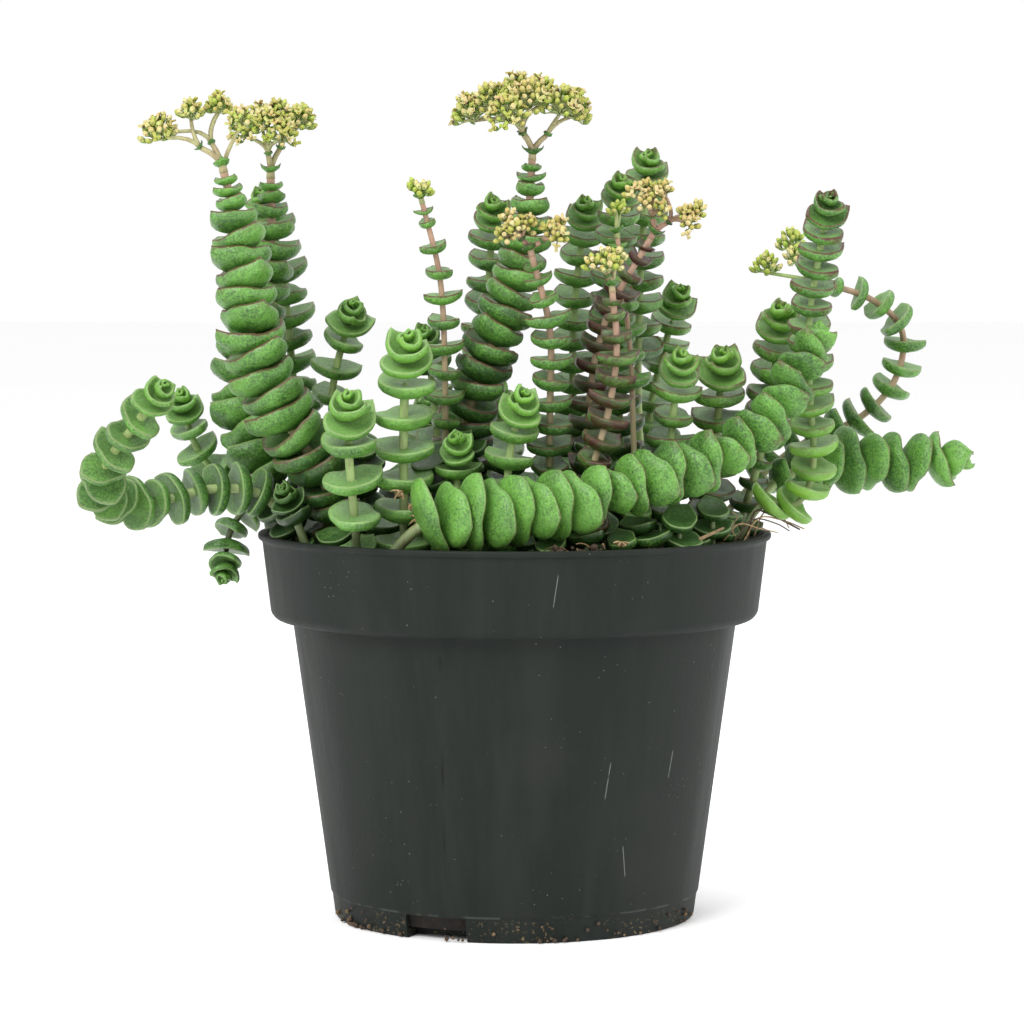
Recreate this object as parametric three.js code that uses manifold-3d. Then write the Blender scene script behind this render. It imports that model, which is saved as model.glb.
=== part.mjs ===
// A potted jade necklace: a small stacked succulent in a plain plastic nursery pot.
// Millimetres, +Z up, origin at the middle of the flat underside of the pot.
// Thick leaf pairs are threaded on every stem, each pair a quarter turn from the last.
import * as THREE from "three";
import { mergeVertices } from "three/addons/utils/BufferGeometryUtils.js";
import Module from "manifold-3d";

const wasm = await Module();
wasm.setup();
const { Manifold, Mesh: SolidMesh } = wasm;

// Driving dimensions of the pot
const RIM_RADIUS = 60; // a 12 cm nursery pot
const POT_HEIGHT = 90;
const BASE_RADIUS = 42.5;
const SHOULDER_RADIUS = 52; // body just under the collar
const COLLAR_TOP_RADIUS = 59;
const COLLAR_LOW_RADIUS = 57;
const COLLAR_HEIGHT = 20;
const COLLAR_FOOT = POT_HEIGHT - COLLAR_HEIGHT;
const WALL = 1.2;
const FLOOR = 2;
const LIP_HEIGHT = 1.2;
const POT_SIDES = 36;
const DRAIN = { count: 3, width: 15, height: 5.5, first: -115, reach: 6 };

// Driving dimensions of the soil
const SOIL_RIM = 80; // height where the soil meets the pot
const SOIL_CROWN = 83;
const SOIL_SIDES = 18;
const GAP = 0.3; // between neighbours that touch on the real plant
const FOOT_DEPTH = 75; // how far down the stems reach
const NECK = 84; // where a stem's route begins, just clear of the soil

// Driving dimensions of the leaves
const SIDES = 4; // of a stem, and half those of a leaf pair's outline
const UP = new THREE.Vector3(0, 0, 1);
const AHEAD = new THREE.Vector3(1, 0, 0);
const SHOULDER_ALONG = 0.58; // widest place of a leaf, as a share of its length
const SHOULDER_ACROSS = 0.72;
const WAIST = 0.5; // half width of the pair where its two leaves join
const CUP = 15; // degrees that leaves rise towards their tips
const CUP_ACROSS = 0.6; // share of that rise across a leaf
const THICK = [0.9, 0.27]; // thickness is the first, plus the second times the length
const CLOSE = 2.2; // a bare stretch shorter than this is hidden between two pairs
const CROWDING = 0.5; // air left between leaves of different stems
const SMALLEST_LEAF = 1.6;
const RAYS = 16; // ways in which a leaf pair is tried against the rim
const STEEP = 30; // past this cup the leaves of a rosette have no room for a belly
const UNEVEN = { size: 0.05, cup: 3 }; // how much leaves differ, as a share and in degrees
const SHRINK = 0.94; // step by which a leaf pair that meets the rim gets smaller
const SOIL_REACH = 1.2; // length of a leaf over its height above the soil, at most
const BELLY = { along: 0.72, across: 0.5, deep: 0.8 }; // rounded underside, in shares of the pair
const STALK = [0.2, 0.15]; // radius is the first, plus the second times the leaf length
const THIN_STALK = 0.33; // largest radius of the stalk within a leaf pair, as a share of the leaf
const ROSETTE = [
  { size: 0.86, cup: 34, step: 0.56 },
  { size: 0.68, cup: 48, step: 0.42 },
  { size: 0.48, cup: 62, step: 0.36 },
];
const BRACTS = [0.62, 0.85]; // sizes of the last pairs below a flower head, top one first
const ROUTE_STEPS = 12; // samples between two route points

// Each stem: where it leaves the soil, its route to the tip, the half length of its leaf
// pairs at the foot and below the tip, the step between pairs there, the bare length at
// the foot, the turn of the first pair, and what ends it.
const STEMS = [
  { name: "stem_left_tall", foot: [-37, -16], leaf: [10, 6.6], step: [5.2, 4.3], bare: 8, turn: 40,
    route: [[-44, -20, 104], [-52, -23, 117], [-59, -24, 132], [-61, -23, 147], [-63, -21, 160],
      [-66, -21, 173]], end: "flower" },
  { name: "stem_left_back", foot: [-46, -2], leaf: [9.2, 6.8], step: [5.4, 4.4], bare: 6, turn: 50,
    route: [[-56, -4, 99], [-61, -1, 112], [-64, 3, 127], [-60, 4, 142], [-57, 4, 157],
      [-57, 4, 172]], end: "flower" },
  { name: "stem_left_far", foot: [-36, 14], leaf: [7, 6], step: [5.6, 4.8], bare: 38, turn: 30,
    route: [[-46, 17, 101], [-52, 21, 119], [-54, 22, 137], [-56, 21, 154], [-60, 20, 168]],
    end: "rosette" },
  { name: "stem_left_creeper", foot: [-47, -15], leaf: [8, 7], step: [4.9, 5.2], bare: 10, turn: 42,
    route: [[-57, -16, 99], [-70, -17, 101], [-83, -20, 98], [-92, -31, 100], [-91, -45, 108],
      [-84, -51, 117], [-77, -54, 126]], end: "rosette" },
  { name: "stem_left_sprout", foot: [-45, 9], leaf: [6, 5.4], step: [5.6, 5.2], bare: 30, turn: 20,
    route: [[-57, 12, 97], [-68, 8, 101], [-75, 4, 110], [-78, 3, 121]], end: "rosette" },
  { name: "stem_left_trailing", foot: [-39, 25], leaf: [6, 5], step: [4.8, 4.8], bare: 21, turn: 45,
    route: [[-52, 28, 98], [-63, 31, 95], [-69, 30, 87], [-70, 29, 77]], end: "rosette" },
  { name: "stem_left_small", foot: [-32, 1], leaf: [6, 5.8], step: [5.6, 5.6], bare: 20, turn: 15,
    route: [[-40, 3, 102], [-43, 4, 121], [-38, 2, 142]], end: "rosette" },
  { name: "stem_front_left", foot: [-35, -38], leaf: [6.4, 7], step: [6, 7.4], bare: 5, turn: 35,
    route: [[-36, -41, 98], [-37, -42, 110], [-37, -43, 122]], end: "rosette" },
  { name: "stem_front_mid_left", foot: [-25, -33], leaf: [7, 7.2], step: [6.4, 6.6], bare: 6, turn: 50,
    route: [[-25, -33, 100], [-25, -33, 118], [-24, -34, 135]], end: "rosette" },
  { name: "stem_thin_flower", foot: [-17, -14], leaf: [5.2, 3.8], step: [5.4, 5.8], bare: 16, turn: 20,
    route: [[-16, -16, 106], [-16, -16, 128], [-17, -16, 149], [-21, -16, 166]], end: "flower" },
  { name: "stem_behind_thin", foot: [-20, 10], leaf: [5.4, 5.4], step: [5.4, 5], bare: 22, turn: 45,
    route: [[-18, 8, 104], [-19, 6, 121], [-21, 5, 136]], end: "rosette" },
  { name: "stem_centre_tall", foot: [-13, -2], leaf: [8.8, 6], step: [5, 4], bare: 7, turn: 50,
    route: [[-13, -4, 102], [-11, -7, 117], [-6, -9, 132], [0, -9, 147], [3, -9, 162], [4, -9, 176]],
    end: "flower" },
  { name: "stem_centre_back", foot: [-7, 17], leaf: [6.4, 5.8], step: [5.6, 5], bare: 42, turn: 35,
    route: [[-7, 16, 108], [-7, 16, 129], [-6, 15, 149], [-5, 14, 166]], end: "rosette" },
  { name: "stem_front_flower", foot: [9, -24], leaf: [5.8, 4.8], step: [4.8, 4.2], bare: 8, turn: 30,
    route: [[8, -26, 102], [8, -28, 120], [8, -28, 138], [4, -28, 154]], end: "flower" },
  { name: "stem_front_mid", foot: [-3, -37], leaf: [5.8, 6], step: [5.4, 5.4], bare: 6, turn: 60,
    route: [[-2, -36, 98], [-1, -35, 111], [2, -36, 123]], end: "rosette" },
  { name: "stem_back_mid", foot: [12, 22], leaf: [6.4, 5.4], step: [5.2, 4.6], bare: 24, turn: 30,
    route: [[14, 22, 110], [14, 22, 138], [17, 21, 166]], end: "rosette" },
  { name: "stem_back_tallest", foot: [33, 26], leaf: [6.4, 6], step: [5.4, 4.8], bare: 48, turn: 45,
    route: [[30, 28, 112], [30, 28, 144], [32, 28, 177]], end: "rosette" },
  { name: "stem_back_tall", foot: [25, 7], leaf: [6.4, 5.8], step: [5.2, 4.6], bare: 20, turn: 40,
    route: [[25, 9, 112], [23, 9, 142], [25, 8, 171]], end: "rosette" },
  { name: "stem_purple_flower", foot: [18, -13], leaf: [5.8, 4.6], step: [4.6, 4.2], bare: 9, turn: 45,
    route: [[18, -14, 102], [17, -14, 120], [21, -13, 140], [31, -13, 158]], end: "flower" },
  { name: "stem_front_right_flower", foot: [16, -33], leaf: [5.6, 4.6], step: [4.6, 4.2], bare: 10,
    turn: 40, route: [[17, -34, 104], [21, -34, 119], [23, -33, 133], [22, -33, 146]], end: "flower" },
  { name: "stem_bud", foot: [31, -7], leaf: [4.8, 3.4], step: [5.2, 4.8], bare: 42, turn: 20,
    route: [[28, -6, 105], [27, -3, 131], [24, -2, 158]], end: "flower" },
  { name: "stem_right_back", foot: [31, 43], leaf: [6.2, 5.6], step: [5, 4.8], bare: 10, turn: 30,
    route: [[32, 41, 104], [34, 39, 122], [40, 37, 145]], end: "rosette" },
  { name: "stem_right_front", foot: [36, -23], leaf: [5.8, 5.6], step: [5.2, 5.6], bare: 6, turn: 25,
    route: [[36, -22, 103], [36, -22, 117], [38, -23, 131]], end: "rosette" },
  { name: "stem_right_mid", foot: [43, -9], leaf: [6.2, 6.6], step: [5, 4.9], bare: 6, turn: 50,
    route: [[46, -10, 102], [47, -10, 117], [48, -11, 131]], end: "rosette" },
  { name: "stem_right_outer", foot: [50, 0], leaf: [6.4, 6.8], step: [5, 5.2], bare: 8, turn: 35,
    route: [[56, 1, 102], [60, 0, 121], [62, 0, 141]], end: "rosette" },
  { name: "stem_right_tall", foot: [49, -13], leaf: [5, 5.4], step: [5.4, 3.9], bare: 18, turn: 45,
    route: [[57, -12, 97], [65, -12, 97], [69, -12, 106], [68, -12, 124], [68, -12, 141],
      [70, -13, 155], [72, -14, 167]], end: "rosette" },
  { name: "stem_front_creeper", foot: [-31, -45], leaf: [9.6, 7.4], step: [4.6, 4.8], bare: 17, turn: 12,
    route: [[-19, -48, 96], [-1, -49, 98], [17, -45, 101], [30, -40, 105], [43, -34, 108],
      [57, -29, 117], [62, -26, 124], [66, -24, 131], [70, -21, 137]], end: "rosette" },
  { name: "stem_right_arch", foot: [43, 19], leaf: [6.2, 4.8], step: [4.8, 5.6], bare: 24, turn: 40,
    route: [[56, 18, 99], [68, 20, 109], [82, 23, 115], [91, 24, 124], [93, 24, 136], [85, 22, 144],
      [72, 20, 148]], end: "flower" },
  { name: "stem_right_creeper", foot: [50, 8], leaf: [9, 8], step: [4.8, 4.6], bare: 22, turn: 48,
    route: [[60, 6, 100], [72, 6, 105], [84, 5, 106], [95, 3, 106], [104, 3, 107]], end: "rosette" },
  { name: "stem_low_left", foot: [-46, -27], leaf: [7.4, 6], step: [4.6, 4.4], bare: 5, turn: 30,
    route: [[-49, -27, 93], [-53, -27, 103]], end: "rosette" },
  { name: "stem_curled", foot: [-13, -29], leaf: [5.4, 5], step: [6, 5.6], bare: 10, turn: 20,
    route: [[-13, -30, 99], [-13, -31, 113]], end: "rosette" },
  { name: "stem_sprout", foot: [27, -23], leaf: [2.6, 2.4], step: [4.4, 4], bare: 12, turn: 40,
    route: [[28, -25, 96], [29, -26, 109]], end: "rosette" },
  { name: "stem_hidden_mid_left", foot: [-22, 35], leaf: [6.4, 5.6], step: [6, 5.6], bare: 8, turn: 55,
    route: [[-22, 36, 101], [-21, 38, 118]], end: "rosette" },
  { name: "stem_hidden_mid", foot: [-3, 41], leaf: [6.4, 5.6], step: [6, 5.6], bare: 8, turn: 35,
    route: [[-3, 42, 102], [-4, 43, 121]], end: "rosette" },
  { name: "stem_hidden_right", foot: [15, 42], leaf: [6.2, 5.4], step: [6, 5.6], bare: 8, turn: 15,
    route: [[15, 43, 100], [14, 44, 116]], end: "rosette" },
];

// The stems in front, with leaves rounded underneath too
const PLUMP = ["stem_left_tall", "stem_left_creeper", "stem_front_left", "stem_front_mid_left",
  "stem_centre_tall", "stem_front_creeper", "stem_right_tall", "stem_right_creeper", "stem_right_mid"];

// Each flower head: the stem it ends, and its crowns: where the top of one lies, how far
// it spreads and how many clusters of florets it has.
const HEADS = [
  { name: "flowers_left_tall", stem: "stem_left_tall",
    crowns: [{ at: [-80, -23, 187], spread: 6, lean: 15, clusters: 2 },
      { at: [-73.5, -22, 190.5], spread: 3.4, lean: 10, clusters: 1 },
      { at: [-67, -18, 192], spread: 5, lean: 5, clusters: 2 },
      { at: [-62, -25, 188.5], spread: 3.4, lean: 20, clusters: 1 }] },
  { name: "flowers_left_back", stem: "stem_left_back",
    crowns: [{ at: [-55, 2, 190.5], spread: 11.4, lean: 20, clusters: 7 }] },
  { name: "flowers_thin", stem: "stem_thin_flower",
    crowns: [{ at: [-22, -16.5, 172.5], spread: 3.8, lean: 10, clusters: 2 }] },
  { name: "flowers_centre", stem: "stem_centre_tall",
    crowns: [{ at: [2.5, -10, 197], spread: 17, lean: 8, clusters: 9 }] },
  { name: "flowers_front", stem: "stem_front_flower",
    crowns: [{ at: [-0.7, -33.5, 163], spread: 5.4, lean: 55, clusters: 3 },
      { at: [9, -33, 162], spread: 4.2, lean: 45, clusters: 2 }] },
  { name: "flowers_purple", stem: "stem_purple_flower",
    crowns: [{ at: [31, -20, 170.5], spread: 6, lean: 50, clusters: 4 },
      { at: [40.5, -20, 165], spread: 4.4, lean: 50, clusters: 2 }] },
  { name: "flowers_front_right", stem: "stem_front_right_flower",
    crowns: [{ at: [21.3, -36, 156.5], spread: 6, lean: 25, clusters: 4 }] },
  { name: "buds_back", stem: "stem_bud",
    crowns: [{ at: [23.6, -3, 167.5], spread: 3.4, lean: 15, clusters: 2 }] },
  { name: "buds_right", stem: "stem_right_arch",
    crowns: [{ at: [60, 19, 155.5], spread: 3.6, lean: 10, clusters: 1 },
      { at: [66, 21, 161.5], spread: 3.8, lean: 0, clusters: 1 },
      { at: [66.5, 15, 157], spread: 3, lean: 20, clusters: 1 }] },
];
const ARM_RADIUS = 0.6;
const ARM_SIDES = 3;
const KNOT_HEIGHT = 1.2; // where the arms part, above the end of the stem
const CLUSTER_FILL = 0.66; // share of a crown's area that its clusters cover
const CLUSTER_HEIGHT = 1.5; // of a cluster, as a share of its radius
const DOME = 0.55; // how far a crown's edge lies below its top, as a share of its spread
const SPLAY = 0.6; // how far the outermost clusters of a crown lean outwards
const GOLDEN_TURN = Math.PI * (3 - Math.sqrt(5));

const material = (color, roughness) =>
  new THREE.MeshStandardMaterial({ color, roughness, metalness: 0 });
const looks = {
  pot: material(0x34383a, 0.55),
  soil: material(0x3a2c22, 0.95),
  leaf: material(0x4f8f3c, 0.5),
  flower: material(0xcdbf78, 0.7),
};

// A repeatable draw between -1 and 1 for the seed given
function draw(seed) {
  const value = Math.sin(seed * 12.9898) * 43758.5453;
  return 2 * (value - Math.floor(value)) - 1;
}

const mix = (from, to, share) => from + (to - from) * share;

// Turns a closed geometry into a solid for cutting and joining
function toSolid(geometry) {
  const plain = geometry.clone();
  plain.deleteAttribute("normal");
  plain.deleteAttribute("uv");
  const merged = mergeVertices(plain, 1e-4);
  return new Manifold(new SolidMesh({
    numProp: 3,
    vertProperties: new Float32Array(merged.attributes.position.array),
    triVerts: new Uint32Array(merged.index.array),
  }));
}

function fromSolid(solid) {
  const mesh = solid.getMesh();
  const geometry = new THREE.BufferGeometry();
  geometry.setAttribute("position", new THREE.BufferAttribute(new Float32Array(mesh.vertProperties), 3));
  geometry.setIndex(new THREE.BufferAttribute(new Uint32Array(mesh.triVerts), 1));
  geometry.computeVertexNormals();
  return geometry;
}

// Triangles between two rings of points, where one may have twice the points of the
// other, or be a single apex
function stitch(faces, low, high) {
  const lowAt = (k) => low.start + (k % low.count);
  const highAt = (k) => high.start + (k % high.count);
  if (high.count === 1) {
    for (let k = 0; k < low.count; k++) faces.push(lowAt(k), lowAt(k + 1), high.start);
    return;
  }
  if (high.count === low.count) {
    for (let k = 0; k < low.count; k++) {
      faces.push(lowAt(k), lowAt(k + 1), highAt(k + 1));
      faces.push(lowAt(k), highAt(k + 1), highAt(k));
    }
    return;
  }
  const few = Math.min(low.count, high.count);
  for (let k = 0; k < few; k++) {
    if (low.count < high.count) {
      faces.push(lowAt(k), highAt(2 * k + 1), highAt(2 * k));
      faces.push(lowAt(k), lowAt(k + 1), highAt(2 * k + 1));
      faces.push(lowAt(k + 1), highAt(2 * k + 2), highAt(2 * k + 1));
    } else {
      faces.push(lowAt(2 * k), lowAt(2 * k + 1), highAt(k));
      faces.push(lowAt(2 * k + 1), highAt(k + 1), highAt(k));
      faces.push(lowAt(2 * k + 1), lowAt(2 * k + 2), highAt(k + 1));
    }
  }
}

// A closed body through rings of points, from the lowest to the highest
function loft(rings) {
  const positions = [];
  const faces = [];
  let below = null;
  for (const ring of rings) {
    const here = { start: positions.length / 3, count: ring.length };
    for (const point of ring) positions.push(point.x, point.y, point.z);
    if (below) {
      stitch(faces, below, here);
    } else {
      for (let k = 2; k < here.count; k++) faces.push(0, k, k - 1);
    }
    below = here;
  }
  for (let k = 2; k < below.count; k++) faces.push(below.start, below.start + k - 1, below.start + k);
  const geometry = new THREE.BufferGeometry();
  geometry.setAttribute("position", new THREE.Float32BufferAttribute(positions, 3));
  geometry.setIndex(faces);
  geometry.computeVertexNormals();
  return geometry;
}

// Samples along a smooth route, each with its distance, direction and side
function walk(points) {
  const curve = new THREE.CatmullRomCurve3(points, false, "catmullrom", 0.5);
  const count = (points.length - 1) * ROUTE_STEPS;
  const samples = [];
  for (let k = 0; k <= count; k++) samples.push({ at: curve.getPoint(k / count) });
  let distance = 0;
  let side = new THREE.Vector3(1, 0, 0);
  for (let k = 0; k <= count; k++) {
    const before = samples[Math.max(k - 1, 0)].at;
    const after = samples[Math.min(k + 1, count)].at;
    const along = after.clone().sub(before).normalize();
    distance += samples[k].at.distanceTo(before);
    side = side.clone().addScaledVector(along, -side.dot(along)).normalize();
    Object.assign(samples[k], { along, side, distance });
  }
  return samples;
}

// The place, direction and side at one distance along the samples
function stand(samples, distance) {
  let k = 1;
  while (k < samples.length - 1 && samples[k].distance < distance) k++;
  const [low, high] = [samples[k - 1], samples[k]];
  const share = (distance - low.distance) / (high.distance - low.distance);
  const along = low.along.clone().lerp(high.along, share).normalize();
  const side = low.side.clone().lerp(high.side, share);
  side.addScaledVector(along, -side.dot(along)).normalize();
  return { at: low.at.clone().lerp(high.at, share), along, side };
}

// The leaf pairs of one stem: their distances, lengths and cups, as they would grow alone
function growPairs(stem, order) {
  const neck = new THREE.Vector3(stem.foot[0], stem.foot[1], NECK);
  stem.samples = walk([neck, ...stem.route.map((p) => new THREE.Vector3(...p))]);
  stem.length = stem.samples[stem.samples.length - 1].distance;
  const flowering = stem.end === "flower";
  const tight = flowering ? [] : ROSETTE;
  const tipShares = flowering ? 1 : ROSETTE.reduce((sum, leaf) => sum + leaf.step, 0);
  const last = stem.length - tipShares * stem.leaf[1];
  const places = [];
  for (let distance = stem.bare; distance < last;) {
    places.push(distance);
    distance += mix(stem.step[0], stem.step[1], distance / stem.length);
  }
  const spare = last - places[places.length - 1];
  stem.pairs = places.map((place, k) => {
    const share = places.length > 1 ? k / (places.length - 1) : 1;
    const size = mix(stem.leaf[0], stem.leaf[1], share) * (1 + UNEVEN.size * draw(order * 31 + k));
    const cup = CUP + UNEVEN.cup * draw(order * 17 + k);
    return { distance: place + spare * share, size, cup, turns: k };
  });
  if (flowering) {
    BRACTS.forEach((share, k) => {
      stem.pairs[places.length - 1 - k].size *= share;
    });
  }
  let distance = last;
  tight.forEach((leaf, k) => {
    distance += leaf.step * stem.leaf[1];
    stem.pairs.push({ distance, size: leaf.size * stem.leaf[1], cup: leaf.cup, turns: places.length + k });
  });
  for (const pair of stem.pairs) Object.assign(pair, stand(stem.samples, pair.distance));
}

// The wall of the pot at one height: its inner and outer radius
function wallAt(z) {
  const outer = mix(COLLAR_LOW_RADIUS, RIM_RADIUS, (z - COLLAR_FOOT) / COLLAR_HEIGHT);
  return { inner: outer - WALL - 1, outer };
}

// The ways in which a leaf pair is long and wide
function pairAxes(stem, pair) {
  const across = pair.along.clone().cross(pair.side);
  const angle = THREE.MathUtils.degToRad(stem.turn + 90 * (pair.turns % 2));
  const lengthwise = pair.side.clone().multiplyScalar(Math.cos(angle))
    .addScaledVector(across, Math.sin(angle));
  return { lengthwise, crosswise: pair.along.clone().cross(lengthwise) };
}

// Whether a leaf pair of this reach misses the rim, tried along the rays of its underside
function missesPot(stem, pair, reach) {
  const { lengthwise, crosswise } = pairAxes(stem, pair);
  const inside = Math.hypot(pair.at.x, pair.at.y) < RIM_RADIUS;
  const cup = THREE.MathUtils.degToRad(pair.cup);
  const thick = THICK[0] + THICK[1] * reach;
  for (let ray = 0; ray < RAYS; ray++) {
    const angle = (ray / RAYS) * 2 * Math.PI;
    for (let share = 0; share <= 1; share += 0.25) {
      const out = share * reach;
      const point = pair.at.clone()
        .addScaledVector(lengthwise, out * Math.cos(angle))
        .addScaledVector(crosswise, SHOULDER_ACROSS * out * Math.sin(angle))
        .addScaledVector(pair.along, out * Math.sin(0.7 * cup) - thick * (1 - 0.8 * share ** 2));
      const radius = Math.hypot(point.x, point.y);
      const wall = wallAt(point.z);
      const low = point.z < POT_HEIGHT + CROWDING;
      if (low && inside && radius > wall.inner - CROWDING) return false;
      if (low && !inside && radius < wall.outer + CROWDING) return false;
    }
  }
  return true;
}

// Leaves keep clear of the leaves and bare stalks of other stems, the pot and the soil
function crowd(stems) {
  for (const stem of stems) {
    for (const pair of stem.pairs) {
      const at = pair.at;
      let room = pair.size;
      if (Math.hypot(at.x, at.y) < RIM_RADIUS) room = Math.min(room, SOIL_REACH * (at.z - SOIL_CROWN));
      for (const other of stems) {
        if (other === stem) continue;
        for (const rival of other.pairs) {
          const share = pair.size / (pair.size + rival.size);
          room = Math.min(room, share * at.distanceTo(rival.at) - 0.5 * CROWDING);
        }
        for (let k = 0; k < other.samples.length; k += 2) {
          const sample = other.samples[k];
          room = Math.min(room, at.distanceTo(sample.at) - stalkRadius(other, sample.distance) - CROWDING);
        }
      }
      while (room > SMALLEST_LEAF && !missesPot(stem, pair, room)) room *= SHRINK;
      pair.reach = room;
    }
  }
  for (const stem of stems) stem.pairs = stem.pairs.filter((pair) => pair.reach > SMALLEST_LEAF);
}

// A stem is as thick as its leaves ask for
function stalkRadius(stem, distance) {
  return STALK[0] + STALK[1] * mix(stem.leaf[0], stem.leaf[1], distance / stem.length);
}

function ring(centre, side, along, radius, turn, count = SIDES) {
  const across = along.clone().cross(side);
  return Array.from({ length: count }, (_, k) => {
    const angle = turn + (k / count) * 2 * Math.PI;
    return centre.clone()
      .addScaledVector(side, radius * Math.cos(angle))
      .addScaledVector(across, radius * Math.sin(angle));
  });
}

// The rings of one leaf pair: stalk, rounded underside, outline, stalk again
function pairRings(stem, pair, turn) {
  const { at, along, side, reach } = pair;
  const { lengthwise, crosswise } = pairAxes(stem, pair);
  const cup = THREE.MathUtils.degToRad(pair.cup);
  const cupAcross = cup * CUP_ACROSS;
  const thick = THICK[0] + THICK[1] * reach;
  const radius = Math.min(stalkRadius(stem, pair.distance), THIN_STALK * reach);
  const place = (u, v, drop) => at.clone()
    .addScaledVector(lengthwise, u * Math.cos(cup))
    .addScaledVector(crosswise, v * Math.cos(cupAcross))
    .addScaledVector(along, Math.abs(u) * Math.sin(cup) + Math.abs(v) * Math.sin(cupAcross) - drop);
  const [wide, out] = [SHOULDER_ACROSS, SHOULDER_ALONG];
  const outline = [[1, 0], [out, wide], [0, WAIST], [-out, wide], [-1, 0], [-out, -wide], [0, -WAIST],
    [out, -wide]];
  const under = [[BELLY.along, 0], [0, BELLY.across], [-BELLY.along, 0], [0, -BELLY.across]];
  const quarter = pair.turns % 2;
  const turned = (list, places) => list.map((_, k) => list[(k - places + list.length) % list.length]);
  const edge = outline.map(([u, v]) => place(u * reach, v * reach, 0));
  const belly = under.map(([u, v]) => place(u * reach, v * reach, BELLY.deep * thick));
  const low = at.clone().addScaledVector(along, -thick);
  return [
    ...(pair.close ? [] : [ring(low, side, along, radius, turn)]),
    ...(PLUMP.includes(stem.name) && pair.cup < STEEP ? [turned(belly, quarter)] : []),
    turned(edge, 2 * quarter),
    ring(at, side, along, radius, turn),
  ];
}

// One leafy stem as a single closed body
function leafyStem(stem) {
  const turn = THREE.MathUtils.degToRad(stem.turn);
  const footRadius = stalkRadius(stem, 0);
  const foot = new THREE.Vector3(stem.foot[0], stem.foot[1], FOOT_DEPTH);
  const rings = [ring(foot, AHEAD, UP, footRadius, turn)];
  rings.push(ring(foot.clone().setZ(NECK), AHEAD, UP, footRadius, turn));
  const bends = stem.samples.filter((_, k) => k > 0 && k % (ROUTE_STEPS / 2) === 0);
  const bare = (from, to) => bends.filter((s) => s.distance > from + 2 && s.distance < to - 2);
  const plain = (s) => ring(s.at, s.side, s.along, stalkRadius(stem, s.distance), turn);
  let reached = 0;
  for (const pair of stem.pairs) {
    const thick = THICK[0] + THICK[1] * pair.reach;
    pair.close = reached > 0 && pair.distance - thick - reached < CLOSE;
    rings.push(...bare(reached, pair.distance - thick).map(plain));
    rings.push(...pairRings(stem, pair, turn));
    reached = pair.distance;
  }
  const tip = stem.samples[stem.samples.length - 1];
  if (stem.end === "flower") {
    rings.push(...bare(reached, stem.length).map(plain));
    rings.push(plain(tip));
  } else {
    const pair = stem.pairs[stem.pairs.length - 1];
    rings.push([pair.at.clone().addScaledVector(pair.along, 0.8 * pair.reach)]);
  }
  return loft(rings);
}

// One cluster of florets on its arm, from the fork out, as a closed body
function cluster(fork, to, radius, axis) {
  const along = to.clone().sub(fork).normalize();
  const side = AHEAD.clone().addScaledVector(along, -along.x).normalize();
  const right = AHEAD.clone().addScaledVector(axis, -axis.x).normalize();
  const forward = axis.clone().cross(right);
  const flare = (count, radii, heights) => Array.from({ length: count }, (_, k) => {
    const angle = (k / count) * 2 * Math.PI;
    const out = radii[k % 2] * radius;
    return to.clone()
      .addScaledVector(right, out * Math.cos(angle))
      .addScaledVector(forward, out * Math.sin(angle))
      .addScaledVector(axis, heights[k % 2] * CLUSTER_HEIGHT * radius);
  });
  return loft([
    ring(fork, side, along, ARM_RADIUS, 0, ARM_SIDES),
    ring(to, right, axis, 0.8 * ARM_RADIUS, 0, ARM_SIDES),
    flare(6, [1, 0.7], [0.72, 0.54]),
    flare(6, [0.36, 0.56], [0.7, 1]),
    flare(1, [0], [0.94]),
  ]);
}

// The clusters of one crown: where each forks, its radius and the way it faces. A crown
// faces up, or leans to the front by its own angle, and its outer clusters splay.
function crownClusters(crown) {
  const lean = THREE.MathUtils.degToRad(crown.lean);
  const facing = new THREE.Vector3(0, -Math.sin(lean), Math.cos(lean));
  const forward = facing.clone().cross(AHEAD);
  const radius = crown.spread * (crown.clusters === 1 ? 1 : Math.sqrt(CLUSTER_FILL / crown.clusters));
  return Array.from({ length: crown.clusters }, (_, k) => {
    const out = (crown.spread - radius) * Math.sqrt((k + 0.3) / (crown.clusters - 0.7));
    const angle = k * GOLDEN_TURN + crown.at[0];
    const outward = AHEAD.clone().multiplyScalar(Math.cos(angle)).addScaledVector(forward, Math.sin(angle));
    const drop = DOME * crown.spread * (out / crown.spread) ** 2 + CLUSTER_HEIGHT * radius;
    const to = new THREE.Vector3(...crown.at).addScaledVector(outward, out).addScaledVector(facing, -drop);
    const axis = facing.clone().addScaledVector(outward, SPLAY * out / crown.spread).normalize();
    return { to, radius, axis };
  });
}

function flowerHead(head, stems) {
  const stem = stems.find((s) => s.name === head.stem);
  const tip = stem.samples[stem.samples.length - 1];
  const start = tip.at.clone().addScaledVector(tip.along, GAP);
  const knot = start.clone().addScaledVector(tip.along, KNOT_HEIGHT);
  const radius = stalkRadius(stem, stem.length);
  const bodies = [toSolid(loft([
    ring(start, tip.side, tip.along, radius, 0),
    ring(knot.clone().addScaledVector(tip.along, ARM_RADIUS), tip.side, tip.along, radius, 0),
  ]))];
  for (const crown of head.crowns) {
    for (const one of crownClusters(crown)) bodies.push(toSolid(cluster(knot, one.to, one.radius, one.axis)));
  }
  return fromSolid(bodies.reduce((whole, body) => whole.add(body)));
}

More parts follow.
